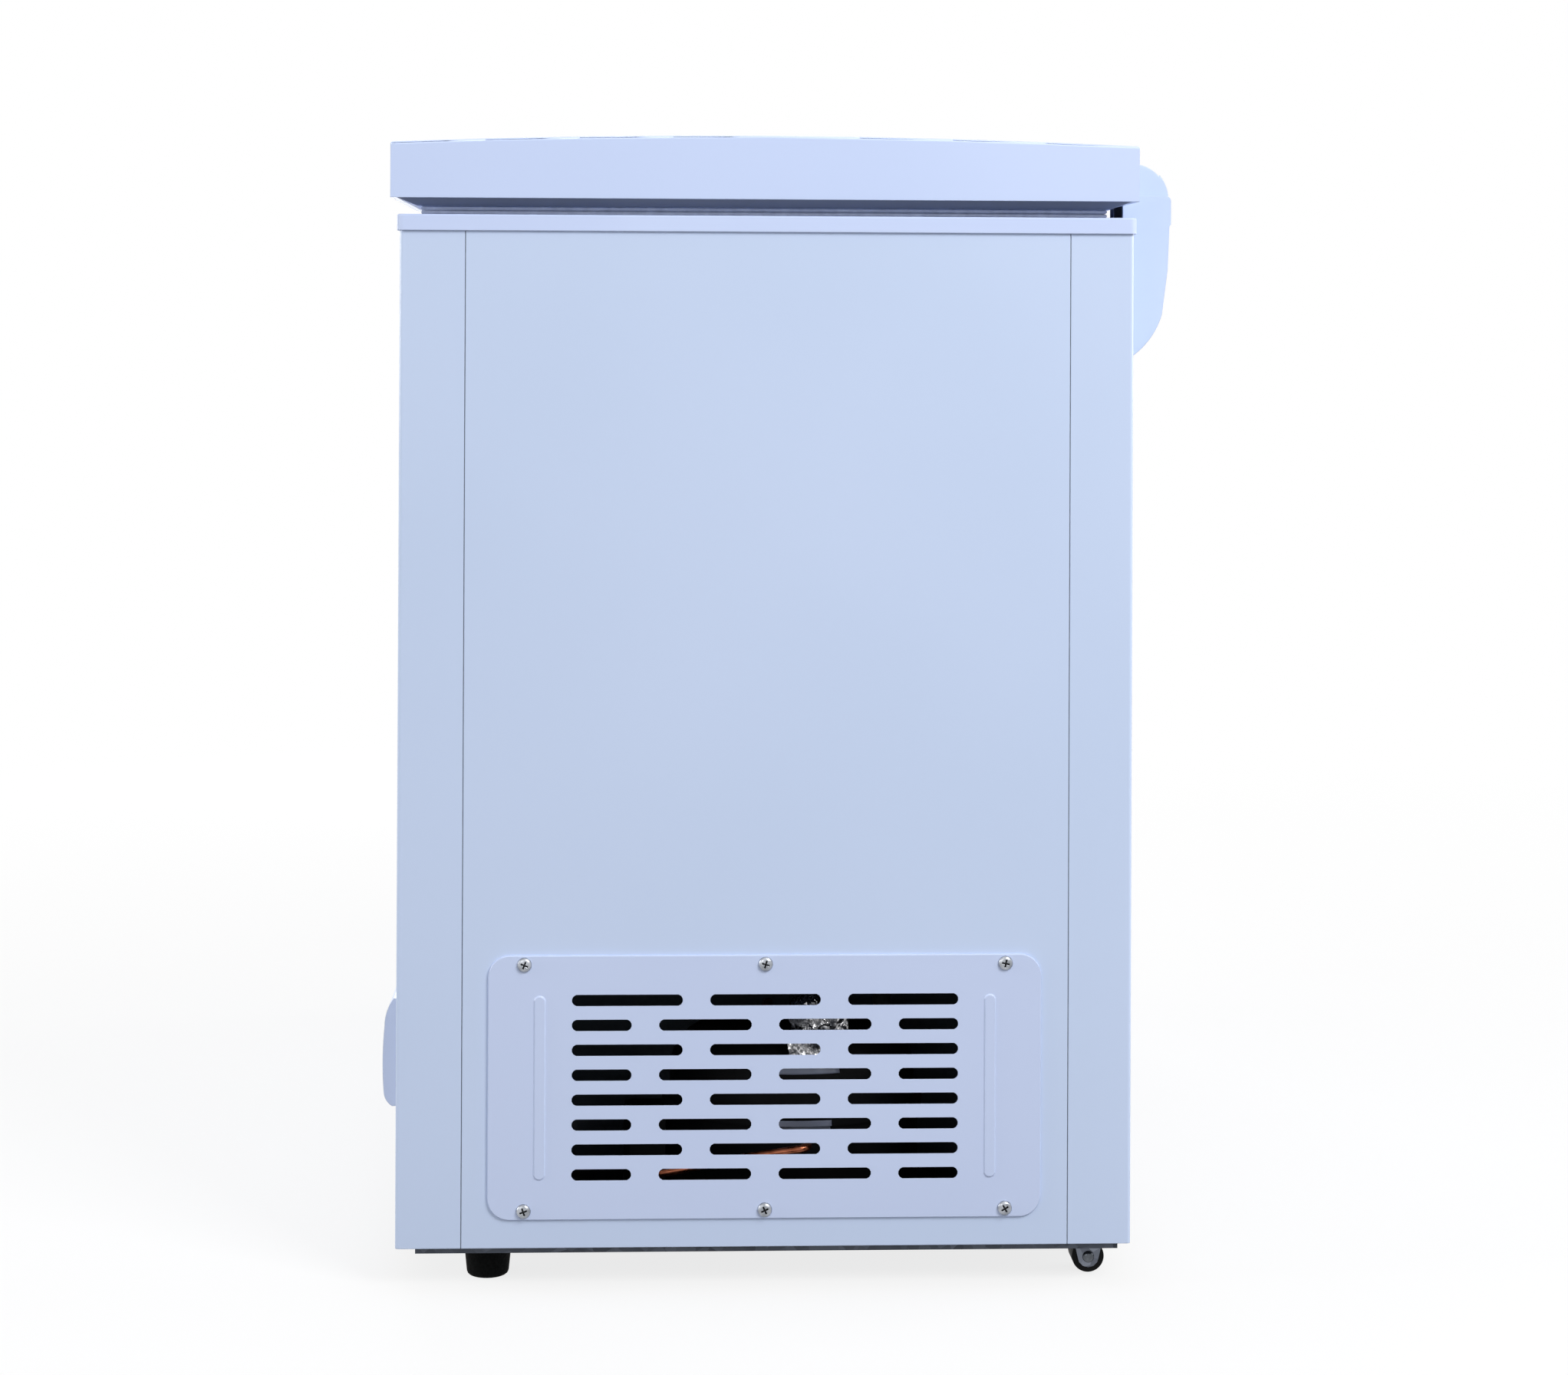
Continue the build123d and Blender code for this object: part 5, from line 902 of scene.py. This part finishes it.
mark = block(
    (KNOB_X - MARK_HALF_WIDTH, FRONT_Y - MARK_PROUD[0], KNOB_Z + MARK_HEIGHTS[0]),
    (KNOB_X + MARK_HALF_WIDTH, FRONT_Y - MARK_PROUD[1], KNOB_Z + MARK_HEIGHTS[1]),
)
place("knob_mark", mesh_from("knob_mark", *mark), MARK_PLASTIC, "thermostat_knob")


# Cord gland: a turned collar with a rolled rim

GLAND_SPOT = (0.3025, 0.25675, 0.090)
GLAND_PROFILE = [
    (4.5, -5.6), (7.9, -5.6), (7.9, 0.0), (11.4, 0.0), (11.9, 0.4), (11.9, 1.5), (11.2, 2.5), (9.8, 3.0),
    (6.4, 3.0), (5.1, 2.7), (4.5, 2.0), (4.5, -5.6),
]
collar = lathe(GLAND_PROFILE, GLAND_SPOT, (0, 1, 0), closed_ends=False)
gland = place("gland_collar", mesh_from("gland_collar", *collar), BLACK_PLASTIC, "cabinet")
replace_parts(gland, "cord_gland")


# Seams between the wrappers and the end panels, each with a sunk grey strip that is painted shade in the
# gap

SEAMS_Y = (-0.23795, 0.20945)
SEAM_WIDTH = 0.0006
SEAM_LEVELS = (0.0312, 0.7786)

# (share of the width, depth from the face in metres) pairs.
SEAM_SECTION = [
    (-0.5, -0.0007), (-0.5, -0.0003), (-0.2, -0.00022), (0.2, -0.00022), (0.5, -0.0003), (0.5, -0.0007),
]


def seam_shade_strips():
    """Rounded strips of painted shade that lie just under the face in the four seams."""
    parts = []
    for sx in (-1, 1):
        for middle in SEAMS_Y:
            points = []
            for z in SEAM_LEVELS:
                for share, depth in SEAM_SECTION:
                    points.append((sx * (END_X + depth), middle + share * SEAM_WIDTH, z))
            parts.append((points, rings(2, len(SEAM_SECTION))))
    return combined(*parts)


place("seam_shade_strips", mesh_from("seam_shade_strips", *seam_shade_strips()), SEAM_PAINTED_SHADE, "cabinet")


# Stage: floor, world and lamps

WHITE = (1, 1, 1, 1)
FLOOR_HALF = 30
FLOOR_TONES = ((0.76, 0.76, 0.76, 1), (0.79, 0.79, 0.79, 1))
FLOOR_BOUNCE = (0.24, 0.24, 0.24, 1)
GLOW_SHARES = (0.80, 1.0)
GLOW_REACH = (0.9, 2.4)
WORLD_STRENGTH = 0.38

# Each lamp: place, target, size and watts.
LAMPS = {
    "key_light": ((2.4, 1.7, 2.4), (0.45, 0, 0.6), (1.4, 1.4), 82),
    "fill_light": ((3.4, -1.6, 1.6), (0.45, 0, 0.5), (1.8, 1.8), 17),
    "top_light": ((0.0, 0.0, 3.4), (0, 0, 0.4), (2.4, 2.4), 9),
    "front_light": ((0.2, -3.6, 1.3), (0, 0, 0.45), (2.2, 1.6), 66),
    "rear_light": ((-0.6, 3.6, 1.3), (0, 0, 0.45), (2.2, 1.6), 48),
    "far_end_light": ((-3.6, -0.6, 1.3), (-0.45, 0, 0.45), (2.2, 1.6), 66),
}


def background_rays(tree):
    """A Light Path node, and a socket that is 1 for camera, glossy and transmission rays."""
    path = tree.nodes.new("ShaderNodeLightPath")
    shown = path.outputs["Is Camera Ray"]
    for kind in ("Is Glossy Ray", "Is Transmission Ray"):
        either = tree.nodes.new("ShaderNodeMath")
        either.operation = "MAXIMUM"
        tree.links.new(shown, either.inputs[0])
        tree.links.new(path.outputs[kind], either.inputs[1])
        shown = either.outputs["Value"]
    return path, shown


def mixed(tree, factor, first, second):
    """Output of a shader mix: the first shader at 0, the second at 1."""
    mix = tree.nodes.new("ShaderNodeMixShader")
    tree.links.new(factor, mix.inputs["Fac"])
    tree.links.new(first, mix.inputs[1])
    tree.links.new(second, mix.inputs[2])
    return mix.outputs["Shader"]


def studio_floor():
    """Pale floor, white away from the object, that keeps a soft shadow and returns little light."""
    corners = [(-1, -1), (1, -1), (1, 1), (-1, 1)]
    data = bpy.data.meshes.new("floor")
    data.from_pydata([(x * FLOOR_HALF, y * FLOOR_HALF, 0) for x, y in corners], [], [(0, 1, 2, 3)])
    floor = bpy.data.objects.new("floor", data)
    bpy.context.scene.collection.objects.link(floor)
    made = Surface("floor_paint", 0.9)
    made.colour(made.noise(1.5), *FLOOR_TONES)
    path, shown = background_rays(made.tree)
    dull = made.node("ShaderNodeBsdfDiffuse")
    dull.inputs["Color"].default_value = FLOOR_BOUNCE
    lit = mixed(made.tree, path.outputs["Is Camera Ray"], dull.outputs["BSDF"], made.shader.outputs["BSDF"])
    reach = made.node("ShaderNodeVectorMath", operation="LENGTH")
    made.link(made.place, reach.inputs[0])
    share = made.node("ShaderNodeMath", operation="MULTIPLY")
    made.link(made.ranged(reach.outputs["Value"], *GLOW_SHARES, *GLOW_REACH), share.inputs[0])
    made.link(shown, share.inputs[1])
    glow = made.node("ShaderNodeEmission")
    glow.inputs["Color"].default_value = WHITE
    glow.inputs["Strength"].default_value = 1.0
    surface = mixed(made.tree, share.outputs["Value"], lit, glow.outputs["Emission"])
    made.link(surface, made.tree.nodes["Material Output"].inputs["Surface"])
    data.materials.append(made.material)


def plain_background(tree, strength):
    """White world background of a strength."""
    made = tree.nodes.new("ShaderNodeBackground")
    made.inputs["Color"].default_value = WHITE
    made.inputs["Strength"].default_value = strength
    return made.outputs["Background"]


def studio_world():
    """White to the camera and in reflections, softer as a light."""
    world = bpy.data.worlds.new("studio")
    world.use_nodes = True
    tree = world.node_tree
    tree.nodes.clear()
    _, shown = background_rays(tree)
    surface = mixed(tree, shown, plain_background(tree, WORLD_STRENGTH), plain_background(tree, 1.0))
    output = tree.nodes.new("ShaderNodeOutputWorld")
    tree.links.new(surface, output.inputs["Surface"])
    bpy.context.scene.world = world


def softbox(name, spot, target, size, power):
    """Rectangular lamp turned towards a target, which the camera doesn't see."""
    data = bpy.data.lights.new(name, "AREA")
    data.shape = "RECTANGLE"
    data.size, data.size_y = size
    data.energy = power
    lamp = bpy.data.objects.new(name, data)
    lamp.location = spot
    lamp.rotation_euler = (Vector(target) - Vector(spot)).to_track_quat("-Z", "Y").to_euler()
    lamp.visible_camera = False
    bpy.context.scene.collection.objects.link(lamp)


studio_floor()
studio_world()
for name, settings in LAMPS.items():
    softbox(name, *settings)


# Camera at the photograph's viewpoint: pixels of the photograph, metres and degrees

PHOTO_WIDTH = 2044
PHOTO_HEIGHT = 1793
FOCAL_PX = 3785.3
CENTRE_PX = (992.7, 412.7)
CAMERA_SPOT = (2.5946, -0.1030, 0.7069)
YAW = -2.223
PITCH = 0.262
ROLL = 0.247
SENSOR = 36.0


def photo_camera():
    """Camera at the photograph's viewpoint; the shift is its off-centre framing."""
    data = bpy.data.cameras.new("photo_camera")
    data.sensor_width = SENSOR
    data.lens = SENSOR * FOCAL_PX / PHOTO_WIDTH
    data.shift_x = (PHOTO_WIDTH / 2 - CENTRE_PX[0]) / PHOTO_WIDTH
    data.shift_y = (CENTRE_PX[1] - PHOTO_HEIGHT / 2) / PHOTO_WIDTH
    camera = bpy.data.objects.new("photo_camera", data)
    yaw, pitch = radians(YAW), radians(PITCH)
    ahead = Vector((-cos(yaw) * cos(pitch), -sin(yaw) * cos(pitch), sin(pitch)))
    turn = ahead.to_track_quat("-Z", "Y").to_matrix() @ Matrix.Rotation(radians(ROLL), 3, "Z")
    camera.matrix_world = Matrix.Translation(CAMERA_SPOT) @ turn.to_4x4()
    bpy.context.scene.collection.objects.link(camera)
    bpy.context.scene.camera = camera


photo_camera()
bpy.context.scene.view_settings.view_transform = "Standard"
